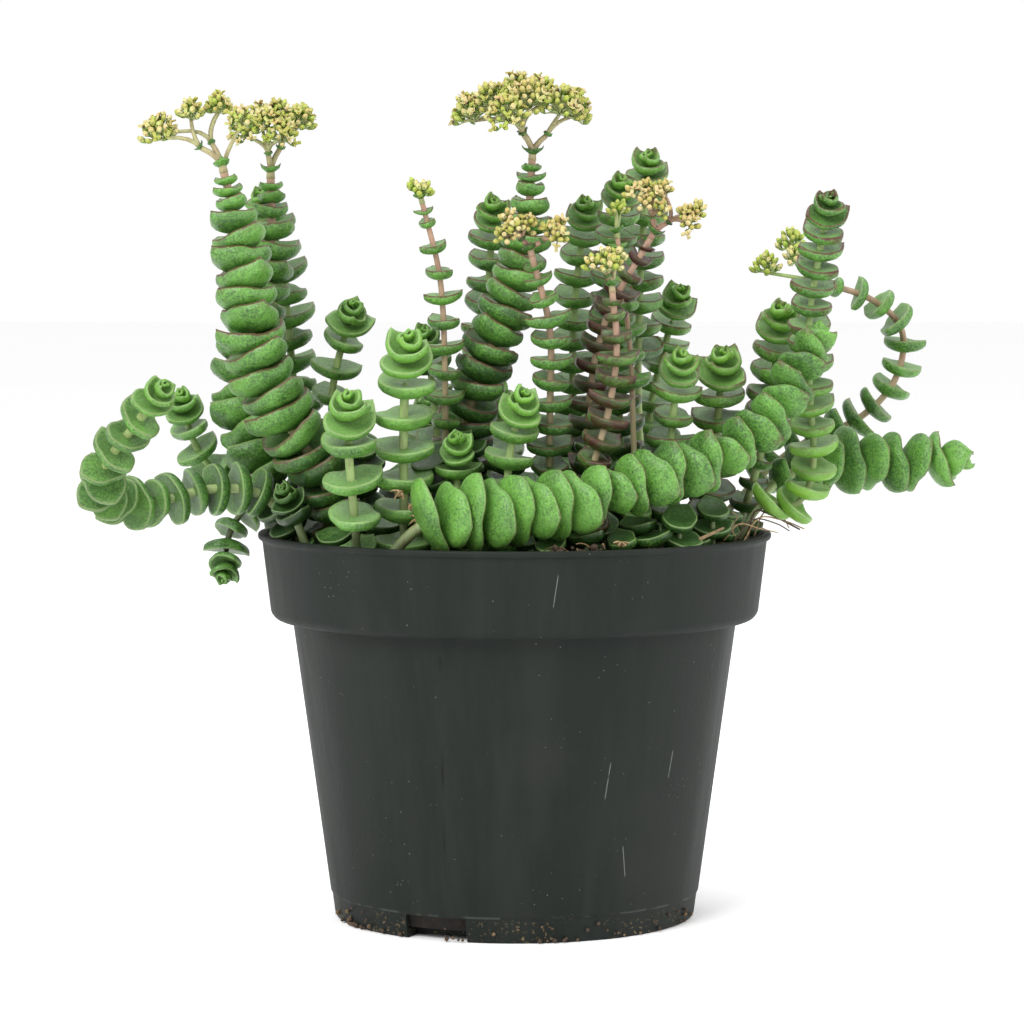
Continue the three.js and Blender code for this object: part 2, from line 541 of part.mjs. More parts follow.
function potOutline() {
  const lipFoot = POT_HEIGHT - LIP_HEIGHT;
  return [
    [0, 0], [BASE_RADIUS, 0], [SHOULDER_RADIUS, COLLAR_FOOT], [COLLAR_LOW_RADIUS - 1.2, COLLAR_FOOT],
    [COLLAR_LOW_RADIUS, COLLAR_FOOT + 1.4], [COLLAR_TOP_RADIUS, lipFoot - 0.6], [RIM_RADIUS, lipFoot],
    [RIM_RADIUS, POT_HEIGHT], [COLLAR_TOP_RADIUS - WALL, POT_HEIGHT],
    [COLLAR_LOW_RADIUS - WALL, COLLAR_FOOT + 1.6], [SHOULDER_RADIUS - WALL, COLLAR_FOOT - 0.4],
    [BASE_RADIUS - WALL, FLOOR], [0, FLOOR],
  ];
}

function lathe(outline, sides) {
  const geometry = new THREE.LatheGeometry(outline.map(([r, z]) => new THREE.Vector2(r, z)), sides);
  return geometry.rotateX(Math.PI / 2);
}

function pot() {
  let body = toSolid(lathe(potOutline(), POT_SIDES));
  for (let k = 0; k < DRAIN.count; k++) {
    const angle = THREE.MathUtils.degToRad(DRAIN.first + (k * 360) / DRAIN.count);
    const notch = new THREE.BoxGeometry(2 * DRAIN.reach, DRAIN.width, 2 * DRAIN.height);
    notch.rotateZ(angle).translate(BASE_RADIUS * Math.cos(angle), BASE_RADIUS * Math.sin(angle), 0);
    body = body.subtract(toSolid(notch));
  }
  return fromSolid(body);
}

// The soil fills the pot to just below the rim, with a plain hole for each stem
function soil(stems) {
  const innerAt = (z) => mix(BASE_RADIUS, SHOULDER_RADIUS, z / COLLAR_FOOT) - WALL - 2 * GAP;
  const ledge = COLLAR_FOOT - 1;
  const outline = [[0, FLOOR + GAP], [innerAt(FLOOR) - 0.2, FLOOR + GAP], [innerAt(ledge) - 0.2, ledge],
    [COLLAR_LOW_RADIUS - WALL - 1.2, ledge + 4], [COLLAR_LOW_RADIUS - WALL - 0.6, SOIL_RIM],
    [0.6 * RIM_RADIUS, SOIL_CROWN - 0.8], [0, SOIL_CROWN - 0.5]];
  let body = toSolid(lathe(outline, SOIL_SIDES));
  for (const stem of stems) {
    const turn = THREE.MathUtils.degToRad(stem.turn);
    const radius = stalkRadius(stem, 0) + GAP * Math.SQRT2;
    const low = new THREE.Vector3(stem.foot[0], stem.foot[1], FOOT_DEPTH - GAP);
    const high = low.clone().setZ(POT_HEIGHT);
    const ends = [ring(low, AHEAD, UP, radius, turn), ring(high, AHEAD, UP, radius, turn)];
    body = body.subtract(toSolid(loft(ends)));
  }
  return fromSolid(body);
}

const plant = new THREE.Group();
plant.name = "potted_jade_necklace";

function addPiece(name, geometry, look) {
  const piece = new THREE.Mesh(geometry, look);
  piece.name = name;
  plant.add(piece);
}

STEMS.forEach(growPairs);
crowd(STEMS);
addPiece("pot", pot(), looks.pot);
addPiece("soil", soil(STEMS), looks.soil);
for (const stem of STEMS) addPiece(stem.name, leafyStem(stem), looks.leaf);
for (const head of HEADS) addPiece(head.name, flowerHead(head, STEMS), looks.flower);

export default plant;
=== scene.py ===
"""A potted jade necklace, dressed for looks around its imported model."""

import math

import bmesh
import bpy
from bpy.props import FloatProperty, FloatVectorProperty, IntProperty, PointerProperty
from mathutils import Matrix, Vector, noise


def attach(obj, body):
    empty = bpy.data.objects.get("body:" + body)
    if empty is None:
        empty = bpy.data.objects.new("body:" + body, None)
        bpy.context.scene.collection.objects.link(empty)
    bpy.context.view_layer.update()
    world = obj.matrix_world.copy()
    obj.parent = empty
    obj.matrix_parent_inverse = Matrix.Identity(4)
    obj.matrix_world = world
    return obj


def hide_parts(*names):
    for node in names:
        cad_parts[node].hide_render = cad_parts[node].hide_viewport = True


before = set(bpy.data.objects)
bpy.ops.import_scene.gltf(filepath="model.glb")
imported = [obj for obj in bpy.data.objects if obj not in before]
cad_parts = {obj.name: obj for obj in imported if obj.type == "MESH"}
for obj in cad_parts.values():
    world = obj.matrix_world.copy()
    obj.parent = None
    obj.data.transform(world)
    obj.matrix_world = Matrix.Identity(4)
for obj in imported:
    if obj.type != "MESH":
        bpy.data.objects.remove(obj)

bl_info = {
    "name": "Potted Jade Necklace",
    "version": (1, 0, 0),
    "blender": (4, 5, 0),
    "location": "View3D > Sidebar > Plant",
    "description": "Dresses a potted jade necklace: pot, soil, leafy stems and flower heads",
    "category": "Add Mesh",
}

MM = 0.001
BODY = "root"

# Sizes of the pot, the same as its solid's
RIM_RADIUS = 60 * MM
POT_HEIGHT = 90 * MM
BASE_RADIUS = 42.5 * MM
SHOULDER_RADIUS = 52 * MM
COLLAR_TOP_RADIUS = 59 * MM
COLLAR_LOW_RADIUS = 57 * MM
COLLAR_HEIGHT = 20 * MM
COLLAR_FOOT = POT_HEIGHT - COLLAR_HEIGHT
LIP_HEIGHT = 1.2 * MM
DRAIN_COUNT = 3
DRAIN_FIRST = math.radians(-115)

# Sizes of the soil
SOIL_CROWN = 83 * MM
SOIL_RIM = 80 * MM
NECK = 84 * MM
GAP = 0.3 * MM

# Rules by which leaves grow, the same as those of the solids
SHOULDER_ACROSS = 0.72
WAIST = 0.5
CUP = 15
THICK = (0.9 * MM, 0.27)
CROWDING = 0.5 * MM
SMALLEST_LEAF = 1.6 * MM
RAYS = 16
UNEVEN_SIZE = 0.05
UNEVEN_CUP = 3
SHRINK = 0.94
SOIL_REACH = 1.2
STALK = (0.2 * MM, 0.15)
ROSETTE = [(0.86, 34, 0.56), (0.68, 48, 0.42), (0.48, 62, 0.36)]
BRACTS = [0.62, 0.85]
ROUTE_STEPS = 12
POT_WALL = 1.2 * MM

# Each pair of a rosette: its length and step along the stem over the leaf's, and its slope
# in degrees at the stem and at its tip; then its thickness, as a least one and a share of its
# length, and how much further than other leaves it turns to the front
ROSEBUD = [
    (1.0, 0.6, 6, 42), (0.94, 0.24, 22, 74), (0.78, 0.22, 38, 100), (0.56, 0.18, 56, 118),
    (0.34, 0.12, 76, 126),
]
ROSE_THICK = (0.4 * MM, 0.28)
ROSE_LIGHT = 0.42
GOLDEN_TURN = math.pi * (3 - math.sqrt(5))

# Each stem, as in the solids: foot, half length of its leaf pairs at the foot and below the
# tip, step between pairs there, bare length, turn of the first pair, what ends it and its
# route to the tip. The rest is for the eye alone: light is how far its leaves turn to the
# front, upright how far the first ones rise where the stem lies, cupped the degrees by which
# they curl up, thin their thickness and fit their size at the foot and at the tip over those
# of the others, and look the tone, blush and freshness at the foot and at the tip.
# Where the tone is low at a foot, it partly paints shade among the low leaves.
STEMS = [
    dict(name="stem_left_tall", foot=(-37, -16), leaf=(10, 6.6), step=(5.2, 4.3),
         bare=8, turn=40, end="flower",
         route=[(-44, -20, 104), (-52, -23, 117), (-59, -24, 132), (-61, -23, 147),
                (-63, -21, 160), (-66, -21, 173)],
         light=0.0, cupped=15, thin=1.12, look=((0.0, 0.35, 0.0), (0.2, 0.5, 0.0))),
    dict(name="stem_left_back", foot=(-46, -2), leaf=(9.2, 6.8), step=(5.4, 4.4),
         bare=6, turn=50, end="flower",
         route=[(-56, -4, 99), (-61, -1, 112), (-64, 3, 127), (-60, 4, 142), (-57, 4, 157),
                (-57, 4, 172)],
         light=0.0, cupped=15, thin=1.12, look=((-0.3, 0.0, 0.2), (0.0, 0.45, 0.0))),
    dict(name="stem_left_far", foot=(-36, 14), leaf=(7, 6), step=(5.6, 4.8),
         bare=38, turn=30, end="rosette",
         route=[(-46, 17, 101), (-52, 21, 119), (-54, 22, 137), (-56, 21, 154), (-60, 20, 168)],
         cupped=10, look=((0.1, 0.1, 0.1), (0.0, 0.4, 0.1))),
    dict(name="stem_left_creeper", foot=(-47, -15), leaf=(8, 7), step=(4.9, 5.2),
         bare=10, turn=42, end="rosette",
         route=[(-57, -16, 99), (-70, -17, 101), (-83, -20, 98), (-92, -31, 100),
                (-91, -45, 108), (-84, -51, 117), (-77, -54, 126)],
         light=0.3, fit=(0.92, 0.76), look=((-0.5, 0.05, 0.0), (-0.2, 0.2, 0.2))),
    dict(name="stem_left_sprout", foot=(-45, 9), leaf=(6, 5.4), step=(5.6, 5.2),
         bare=30, turn=20, end="rosette",
         route=[(-57, 12, 97), (-68, 8, 101), (-75, 4, 110), (-78, 3, 121)],
         look=((-0.2, 0.05, 0.0), (0.0, 0.1, 0.1))),
    dict(name="stem_left_trailing", foot=(-39, 25), leaf=(6, 5), step=(4.8, 4.8),
         bare=21, turn=45, end="rosette",
         route=[(-52, 28, 98), (-63, 31, 95), (-69, 30, 87), (-70, 29, 77)],
         look=((-0.4, 0.0, 0.0), (-0.4, 0.1, 0.0))),
    dict(name="stem_left_small", foot=(-32, 1), leaf=(6, 5.8), step=(5.6, 5.6),
         bare=20, turn=15, end="rosette",
         route=[(-40, 3, 102), (-43, 4, 121), (-38, 2, 142)],
         look=((-0.3, 0.05, 0.0), (-0.1, 0.2, 0.2))),
    dict(name="stem_front_left", foot=(-35, -38), leaf=(6.4, 7), step=(6, 7.4),
         bare=5, turn=35, end="rosette",
         route=[(-36, -41, 98), (-37, -42, 110), (-37, -43, 122)],
         look=((0.2, 0.0, 0.1), (0.1, 0.15, 0.2))),
    dict(name="stem_front_mid_left", foot=(-25, -33), leaf=(7, 7.2), step=(6.4, 6.6),
         bare=6, turn=50, end="rosette",
         route=[(-25, -33, 100), (-25, -33, 118), (-24, -34, 135)],
         look=((0.4, 0.0, 0.2), (0.3, 0.15, 0.3))),
    dict(name="stem_thin_flower", foot=(-17, -14), leaf=(5.2, 3.8), step=(5.4, 5.8),
         bare=16, turn=20, end="flower",
         route=[(-16, -16, 106), (-16, -16, 128), (-17, -16, 149), (-21, -16, 166)],
         look=((0.0, 0.3, 0.0), (0.1, 0.5, 0.1))),
    dict(name="stem_behind_thin", foot=(-20, 10), leaf=(5.4, 5.4), step=(5.4, 5),
         bare=22, turn=45, end="rosette",
         route=[(-18, 8, 104), (-19, 6, 121), (-21, 5, 136)],
         look=((-0.4, 0.2, 0.0), (-0.3, 0.3, 0.0))),
    dict(name="stem_centre_tall", foot=(-13, -2), leaf=(8.8, 6), step=(5, 4),
         bare=7, turn=50, end="flower",
         route=[(-13, -4, 102), (-11, -7, 117), (-6, -9, 132), (0, -9, 147), (3, -9, 162),
                (4, -9, 176)],
         light=0.0, cupped=15, thin=1.12, look=((-0.7, 0.4, 0.0), (0.1, 0.55, 0.0))),
    dict(name="stem_centre_back", foot=(-7, 17), leaf=(6.4, 5.8), step=(5.6, 5),
         bare=42, turn=35, end="rosette",
         route=[(-7, 16, 108), (-7, 16, 129), (-6, 15, 149), (-5, 14, 166)],
         cupped=10, look=((-0.3, 0.3, 0.0), (-0.1, 0.6, 0.1))),
    dict(name="stem_front_flower", foot=(9, -24), leaf=(5.8, 4.8), step=(4.8, 4.2),
         bare=8, turn=30, end="flower",
         route=[(8, -26, 102), (8, -28, 120), (8, -28, 138), (4, -28, 154)],
         look=((-0.3, 0.3, 0.0), (0.1, 0.6, 0.0))),
    dict(name="stem_front_mid", foot=(-3, -37), leaf=(5.8, 6), step=(5.4, 5.4),
         bare=6, turn=60, end="rosette",
         route=[(-2, -36, 98), (-1, -35, 111), (2, -36, 123)],
         look=((0.3, 0.1, 0.1), (0.3, 0.2, 0.3))),
    dict(name="stem_back_mid", foot=(12, 22), leaf=(6.4, 5.4), step=(5.2, 4.6),
         bare=24, turn=30, end="rosette",
         route=[(14, 22, 110), (14, 22, 138), (17, 21, 166)],
         cupped=10, look=((-0.1, 0.2, 0.0), (0.2, 0.6, 0.2))),
    dict(name="stem_back_tallest", foot=(33, 26), leaf=(6.4, 6), step=(5.4, 4.8),
         bare=48, turn=45, end="rosette",
         route=[(30, 28, 112), (30, 28, 144), (32, 28, 177)],
         cupped=10, look=((-0.2, 0.3, 0.0), (0.0, 0.8, 0.2))),
    dict(name="stem_back_tall", foot=(25, 7), leaf=(6.4, 5.8), step=(5.2, 4.6),
         bare=20, turn=40, end="rosette",
         route=[(25, 9, 112), (23, 9, 142), (25, 8, 171)],
         cupped=10, look=((-0.3, 0.4, 0.0), (0.0, 0.8, 0.2))),
    dict(name="stem_purple_flower", foot=(18, -13), leaf=(5.8, 4.6), step=(4.6, 4.2),
         bare=9, turn=45, end="flower",
         route=[(18, -14, 102), (17, -14, 120), (21, -13, 140), (31, -13, 158)],
         look=((-0.6, 1.6, 0.0), (-0.6, 2.0, 0.0))),
    dict(name="stem_front_right_flower", foot=(16, -33), leaf=(5.6, 4.6), step=(4.6, 4.2),
         bare=10, turn=40, end="flower",
         route=[(17, -34, 104), (21, -34, 119), (23, -33, 133), (22, -33, 146)],
         look=((-0.3, 1.65, 0.0), (-0.1, 1.4, 0.0))),
    dict(name="stem_bud", foot=(31, -7), leaf=(4.8, 3.4), step=(5.2, 4.8),
         bare=42, turn=20, end="flower",
         route=[(28, -6, 105), (27, -3, 131), (24, -2, 158)],
         look=((0.0, 0.2, 0.0), (0.1, 0.3, 0.1))),
    dict(name="stem_right_back", foot=(31, 43), leaf=(6.2, 5.6), step=(5, 4.8),
         bare=10, turn=30, end="rosette",
         route=[(32, 41, 104), (34, 39, 122), (40, 37, 145)],
         look=((0.2, 0.1, 0.2), (0.2, 0.5, 0.2))),
    dict(name="stem_right_front", foot=(36, -23), leaf=(5.8, 5.6), step=(5.2, 5.6),
         bare=6, turn=25, end="rosette",
         route=[(36, -22, 103), (36, -22, 117), (38, -23, 131)],
         look=((-0.1, 0.3, 0.0), (0.2, 0.6, 0.3))),
    dict(name="stem_right_mid", foot=(43, -9), leaf=(6.2, 6.6), step=(5, 4.9),
         bare=6, turn=50, end="rosette",
         route=[(46, -10, 102), (47, -10, 117), (48, -11, 131)],
         look=((-0.2, 0.4, 0.0), (0.0, 0.8, 0.4))),
    dict(name="stem_right_outer", foot=(50, 0), leaf=(6.4, 6.8), step=(5, 5.2),
         bare=8, turn=35, end="rosette",
         route=[(56, 1, 102), (60, 0, 121), (62, 0, 141)],
         cupped=10, look=((0.0, 0.3, 0.0), (0.0, 0.8, 0.3))),
    dict(name="stem_right_tall", foot=(49, -13), leaf=(5, 5.4), step=(5.4, 3.9),
         bare=18, turn=45, end="rosette",
         route=[(57, -12, 97), (65, -12, 97), (69, -12, 106), (68, -12, 124), (68, -12, 141),
                (70, -13, 155), (72, -14, 167)],
         light=0.3, upright=2.5, fit=(1.25, 1.0), look=((1.1, 0.0, 1.6), (-0.4, 1.1, -0.6))),
    dict(name="stem_front_creeper", foot=(-31, -45), leaf=(9.6, 7.4), step=(4.6, 4.8),
         bare=17, turn=12, end="rosette",
         route=[(-19, -48, 96), (-1, -49, 98), (17, -45, 101), (30, -40, 105), (43, -34, 108),
                (57, -29, 117), (62, -26, 124), (66, -24, 131), (70, -21, 137)],
         light=-0.5, thin=0.62, fit=(1.0, 0.8), look=((0.35, 0.1, 0.2), (-0.1, 0.8, 0.0))),
    dict(name="stem_right_arch", foot=(43, 19), leaf=(6.2, 4.8), step=(4.8, 5.6),
         bare=24, turn=40, end="flower",
         route=[(56, 18, 99), (68, 20, 109), (82, 23, 115), (91, 24, 124), (93, 24, 136),
                (85, 22, 144), (72, 20, 148)],
         light=0.1, look=((-0.1, 0.3, 0.0), (0.0, 0.1, 0.1))),
    dict(name="stem_right_creeper", foot=(50, 8), leaf=(9, 8), step=(4.8, 4.6),
         bare=22, turn=48, end="rosette",
         route=[(60, 6, 100), (72, 6, 105), (84, 5, 106), (95, 3, 106), (104, 3, 107)],
         light=-0.6, thin=0.66, fit=(1.0, 0.92), look=((0.1, 0.2, 0.0), (0.0, 0.35, 0.0))),
    dict(name="stem_low_left", foot=(-46, -27), leaf=(7.4, 6), step=(4.6, 4.4),
         bare=5, turn=30, end="rosette",
         route=[(-49, -27, 93), (-53, -27, 103)],
         cupped=10, look=((-0.7, 0.0, 0.0), (-0.6, 0.0, 0.0))),
    dict(name="stem_curled", foot=(-13, -29), leaf=(5.4, 5), step=(6, 5.6),
         bare=10, turn=20, end="rosette",
         route=[(-13, -30, 99), (-13, -31, 113)],
         look=((0.1, 0.0, 0.1), (0.2, 0.05, 0.2))),
    dict(name="stem_sprout", foot=(27, -23), leaf=(2.6, 2.4), step=(4.4, 4),
         bare=12, turn=40, end="rosette",
         route=[(28, -25, 96), (29, -26, 109)],
         fit=(1.4, 1.5), look=((0.9, 0.0, 1.0), (0.9, 0.0, 1.0))),
    dict(name="stem_hidden_mid_left", foot=(-22, 35), leaf=(6.4, 5.6), step=(6, 5.6),
         bare=8, turn=55, end="rosette",
         route=[(-22, 36, 101), (-21, 38, 118)],
         look=((0.0, 0.1, 0.0), (0.2, 0.3, 0.1))),
    dict(name="stem_hidden_mid", foot=(-3, 41), leaf=(6.4, 5.6), step=(6, 5.6),
         bare=8, turn=35, end="rosette",
         route=[(-3, 42, 102), (-4, 43, 121)],
         look=((0.0, 0.1, 0.0), (0.2, 0.3, 0.1))),
    dict(name="stem_hidden_right", foot=(15, 42), leaf=(6.2, 5.4), step=(6, 5.6),
         bare=8, turn=15, end="rosette",
         route=[(15, 43, 100), (14, 44, 116)],
         look=((0.0, 0.1, 0.0), (0.2, 0.3, 0.1))),
]

# Each flower head: the stem it ends, how green its florets still are, how many are open, and
# its crowns with the top of each, its spread, its lean to the front and its count of clusters.
HEADS = [
    dict(name="flowers_left_tall", stem="stem_left_tall", green=0.45, open=0.35,
         crowns=[((-80, -23, 187), 6, 15, 2), ((-73.5, -22, 190.5), 3.4, 10, 1),
                 ((-67, -18, 192), 5, 5, 2), ((-62, -25, 188.5), 3.4, 20, 1)]),
    dict(name="flowers_left_back", stem="stem_left_back", green=0.5, open=0.45,
         crowns=[((-55, 2, 190.5), 11.4, 20, 7)]),
    dict(name="flowers_thin", stem="stem_thin_flower", green=0.8, open=0.0,
         crowns=[((-22, -16.5, 172.5), 3.8, 10, 2)]),
    dict(name="flowers_centre", stem="stem_centre_tall", green=0.42, open=0.4,
         crowns=[((2.5, -10, 197), 17, 8, 9)]),
    dict(name="flowers_front", stem="stem_front_flower", green=0.05, open=0.2,
         crowns=[((-0.7, -33.5, 163), 5.8, 55, 4), ((9, -33, 162), 4.7, 45, 3)]),
    dict(name="flowers_purple", stem="stem_purple_flower", green=0.0, open=0.25,
         crowns=[((31, -20, 170.5), 6.6, 50, 6), ((40, -20, 165.5), 5, 50, 3)]),
    dict(name="flowers_front_right", stem="stem_front_right_flower", green=0.4, open=0.0,
         crowns=[((21.3, -36, 156.5), 6, 25, 4)]),
    dict(name="buds_back", stem="stem_bud", green=0.7, open=0.0,
         crowns=[((23.6, -3, 167.5), 3.4, 15, 2)]),
    dict(name="buds_right", stem="stem_right_arch", green=1.0, open=0.0,
         crowns=[((60, 19, 155.5), 3.6, 10, 1), ((66, 21, 161.5), 3.8, 0, 1),
                 ((66.5, 15, 157), 3, 20, 1)]),
]
CLUSTER_FILL = 0.74
CLUSTER_HEIGHT = 1.5
DOME = 0.55
SPLAY = 0.6
KNOT_HEIGHT = 1.2 * MM

# Radii of the stalks in a head, from fork to end
LIMB_RADII = (0.78 * MM, 0.62 * MM)
ARM_RADII = (0.58 * MM, 0.4 * MM)
FLORET_STALK_RADII = (0.3 * MM, 0.2 * MM)

# Painted shade on the leaves among the low ones: below a height, behind a depth, both eased
# over the same length, and within the pot's width
SHADE_HEIGHT = 122 * MM
SHADE_FRONT = -42 * MM
SHADE_EASE = 24 * MM
SHADE_SIDE = 56 * MM

# Camera of the photograph: 1024 by 1024, at the viewing angle found from the pot's ellipses
CAMERA_PLACE = (-0.6 * MM, -914 * MM, 160 * MM)
CAMERA_PITCH = math.radians(4.1)
CAMERA_LENS = 137.6


class LeafSettings(bpy.types.PropertyGroup):
    """Shape and colours of the leaf pairs and their stalks"""

    segments: IntProperty(name="Segments", description="Points round a leaf pair", default=16,
                          min=8)
    levels: IntProperty(name="Smoothing", description="Levels of subdivision", default=1, min=0)
    spread: FloatProperty(name="Spread", description="Leaf size over that of its solid",
                          default=1.05)
    regrow: FloatProperty(name="Regrow", description="How far a crowded leaf grows back",
                          default=1.16)
    plump: FloatProperty(name="Plump", description="Thickness over that of its solid", default=1.22)
    twist: FloatProperty(name="Twist", description="Uneven turn of a pair",
                         default=math.radians(14), subtype="ANGLE")
    tilt: FloatProperty(name="Tilt", description="Uneven lean of a pair", default=math.radians(9),
                        subtype="ANGLE")
    light_turn: FloatProperty(name="Turn to light", description="How far leaves turn to the front",
                              default=0.18)
    stalk: FloatProperty(name="Stalk", description="Radius of a stalk over that of its solid",
                         default=0.88)
    deep: FloatVectorProperty(name="Deep green", description="Colour of the darkest leaves",
                              default=(0.012, 0.05, 0.004), subtype="COLOR")
    light: FloatVectorProperty(name="Light green", description="Colour of the lightest leaves",
                               default=(0.135, 0.34, 0.045), subtype="COLOR")
    fresh: FloatVectorProperty(name="Fresh green", description="Colour of the yellowish leaves",
                               default=(0.17, 0.36, 0.02), subtype="COLOR")
    bloom: FloatVectorProperty(name="Bloom", description="Colour of the waxy bloom",
                               default=(0.13, 0.26, 0.1), subtype="COLOR")
    margin: FloatVectorProperty(name="Margin", description="Colour of the reddish leaf margin",
                                default=(0.07, 0.016, 0.012), subtype="COLOR")


class FlowerSettings(bpy.types.PropertyGroup):
    """Size, number and colours of the florets"""

    size: FloatProperty(name="Floret", description="Length of a floret", default=2.4 * MM,
                        unit="LENGTH")
    density: FloatProperty(name="Density", description="Florets per square millimetre of a cluster",
                           default=0.5)
    cream: FloatVectorProperty(name="Cream", description="Colour of ripe buds and petals",
                               default=(0.44, 0.35, 0.115), subtype="COLOR")
    green: FloatVectorProperty(name="Green", description="Colour of sepals and young buds",
                               default=(0.1, 0.2, 0.015), subtype="COLOR")
    pink: FloatVectorProperty(name="Pink", description="Colour of flowering stalks",
                              default=(0.36, 0.2, 0.15), subtype="COLOR")


class PotSettings(bpy.types.PropertyGroup):
    """Finish of the pot and its soil"""

    steps: IntProperty(name="Steps", description="Sides of the turned pot", default=144, min=24)
    charcoal: FloatVectorProperty(name="Charcoal", description="Colour of the plastic",
                                  default=(0.0092, 0.0122, 0.0102), subtype="COLOR")
    drain_width: FloatProperty(name="Drain width", description="Width of a drain notch",
                               default=15 * MM, unit="LENGTH")
    drain_height: FloatProperty(name="Drain height", description="Height of a drain notch",
                                default=5.5 * MM, unit="LENGTH")
    crumbs: IntProperty(name="Crumbs", description="Loose crumbs on the soil", default=420, min=0)
    peat: FloatVectorProperty(name="Peat", description="Colour of the potting soil",
                              default=(0.026, 0.017, 0.012), subtype="COLOR")


class StageSettings(bpy.types.PropertyGroup):
    """Light and floor"""

    key: FloatProperty(name="Key light", description="Power of the main light", default=15.0,
                       unit="POWER")
    fill: FloatProperty(name="Fill light", description="Power of the side light", default=5.0,
                        unit="POWER")
    sky: FloatProperty(name="Sky", description="Strength of the light from all round", default=1.0)
    floor: FloatVectorProperty(name="Floor", description="Colour of the floor",
                               default=(0.97, 0.97, 0.97), subtype="COLOR")


def draw(seed):
    """A repeatable draw between -1 and 1."""
    value = math.sin(seed * 12.9898) * 43758.5453
    return 2 * (value - math.floor(value)) - 1


def mix(low, high, share):
    """The value at a share of the way from low to high."""
    return low + (high - low) * share


def route_point(points, place):
    """The point of a smooth curve through the points, at a place counted in points."""
    k = min(int(place), len(points) - 2)
    share = place - k
    here, ahead = points[k], points[k + 1]
    before = points[k - 1] if k > 0 else 2 * here - ahead
    beyond = points[k + 2] if k + 2 < len(points) else 2 * ahead - here
    leave, arrive = 0.5 * (ahead - before), 0.5 * (beyond - here)
    bend = -3 * here + 3 * ahead - 2 * leave - arrive
    swing = 2 * here - 2 * ahead + leave + arrive
    return here + share * leave + share ** 2 * bend + share ** 3 * swing


def walk(points):
    """Samples along a smooth route, each with its distance, direction and side."""
    count = (len(points) - 1) * ROUTE_STEPS
    places = [route_point(points, k / ROUTE_STEPS) for k in range(count + 1)]
    samples = []
    distance = 0.0
    side = Vector((1, 0, 0))
    for k, at in enumerate(places):
        before, after = places[max(k - 1, 0)], places[min(k + 1, count)]
        along = (after - before).normalized()
        distance += (at - before).length
        side = (side - along * side.dot(along)).normalized()
        samples.append(dict(at=at, along=along, side=side, distance=distance))
    return samples


def stand(samples, distance):
    """The place, direction and side at one distance along the samples."""
    k = 1
    while k < len(samples) - 1 and samples[k]["distance"] < distance:
        k += 1
    low, high = samples[k - 1], samples[k]
    share = (distance - low["distance"]) / (high["distance"] - low["distance"])
    along = low["along"].lerp(high["along"], share).normalized()
    side = low["side"].lerp(high["side"], share)
    side = (side - along * side.dot(along)).normalized()
    return dict(at=low["at"].lerp(high["at"], share), along=along, side=side)


def stalk_radius(stem, distance):
    """How thick a stem is at one distance from its neck."""
    return STALK[0] + STALK[1] * mix(*stem["leaf"], distance / stem["length"])


def grow_pairs(stem, order):
    """Places the leaf pairs of one stem as they would grow alone."""
    stem["samples"] = walk([Vector((*stem["foot"], NECK))] + stem["route"])
    stem["length"] = stem["samples"][-1]["distance"]
    flowering = stem["end"] == "flower"
    tip_shares = 1 if flowering else sum(step for _, _, step in ROSETTE)
    last = stem["length"] - tip_shares * stem["leaf"][1]
    places = []
    distance = stem["bare"]
    while distance < last:
        places.append(distance)
        distance += mix(*stem["step"], distance / stem["length"])
    spare = last - places[-1]
    pairs = []
    for k, place in enumerate(places):
        share = k / (len(places) - 1) if len(places) > 1 else 1
        size = mix(*stem["leaf"], share) * (1 + UNEVEN_SIZE * draw(order * 31 + k))
        cup = CUP + UNEVEN_CUP * draw(order * 17 + k)
        pairs.append(dict(distance=place + spare * share, size=size, cup=cup, turns=k))
    if flowering:
        for k, share in enumerate(BRACTS):
            pairs[-1 - k]["size"] *= share
    distance = last
    for k, (size, cup, step) in enumerate([] if flowering else ROSETTE):
        distance += step * stem["leaf"][1]
        pairs.append(dict(distance=distance, size=size * stem["leaf"][1], cup=cup,
                          turns=len(places) + k, rose=k))
    for pair in pairs:
        pair.update(stand(stem["samples"], pair["distance"]))
    stem["pairs"] = pairs


def pair_axes(stem, pair):
    """The ways in which a leaf pair is long and wide."""
    across = pair["along"].cross(pair["side"])
    angle = stem["turn"] + 0.5 * math.pi * (pair["turns"] % 2)
    lengthwise = pair["side"] * math.cos(angle) + across * math.sin(angle)
    return lengthwise, pair["along"].cross(lengthwise)


def misses_pot(stem, pair, reach):
    """Whether a leaf pair of this reach misses the rim, tried along rays of its underside."""
    lengthwise, crosswise = pair_axes(stem, pair)
    at = pair["at"]
    inside = math.hypot(at.x, at.y) < RIM_RADIUS
    cup = math.radians(pair["cup"])
    thick = THICK[0] + THICK[1] * reach
    for ray in range(RAYS):
        angle = ray / RAYS * 2 * math.pi
        for quarter in range(5):
            share = quarter / 4
            out = share * reach
            point = at + lengthwise * (out * math.cos(angle))
            point += crosswise * (SHOULDER_ACROSS * out * math.sin(angle))
            point += pair["along"] * (out * math.sin(0.7 * cup) - thick * (1 - 0.8 * share ** 2))
            if point.z >= POT_HEIGHT + CROWDING:
                continue
            radius = math.hypot(point.x, point.y)
            outer = mix(COLLAR_LOW_RADIUS, RIM_RADIUS, (point.z - COLLAR_FOOT) / COLLAR_HEIGHT)
            if inside and radius > outer - POT_WALL - 1 * MM - CROWDING:
                return False
            if not inside and radius < outer + CROWDING:
                return False
    return True


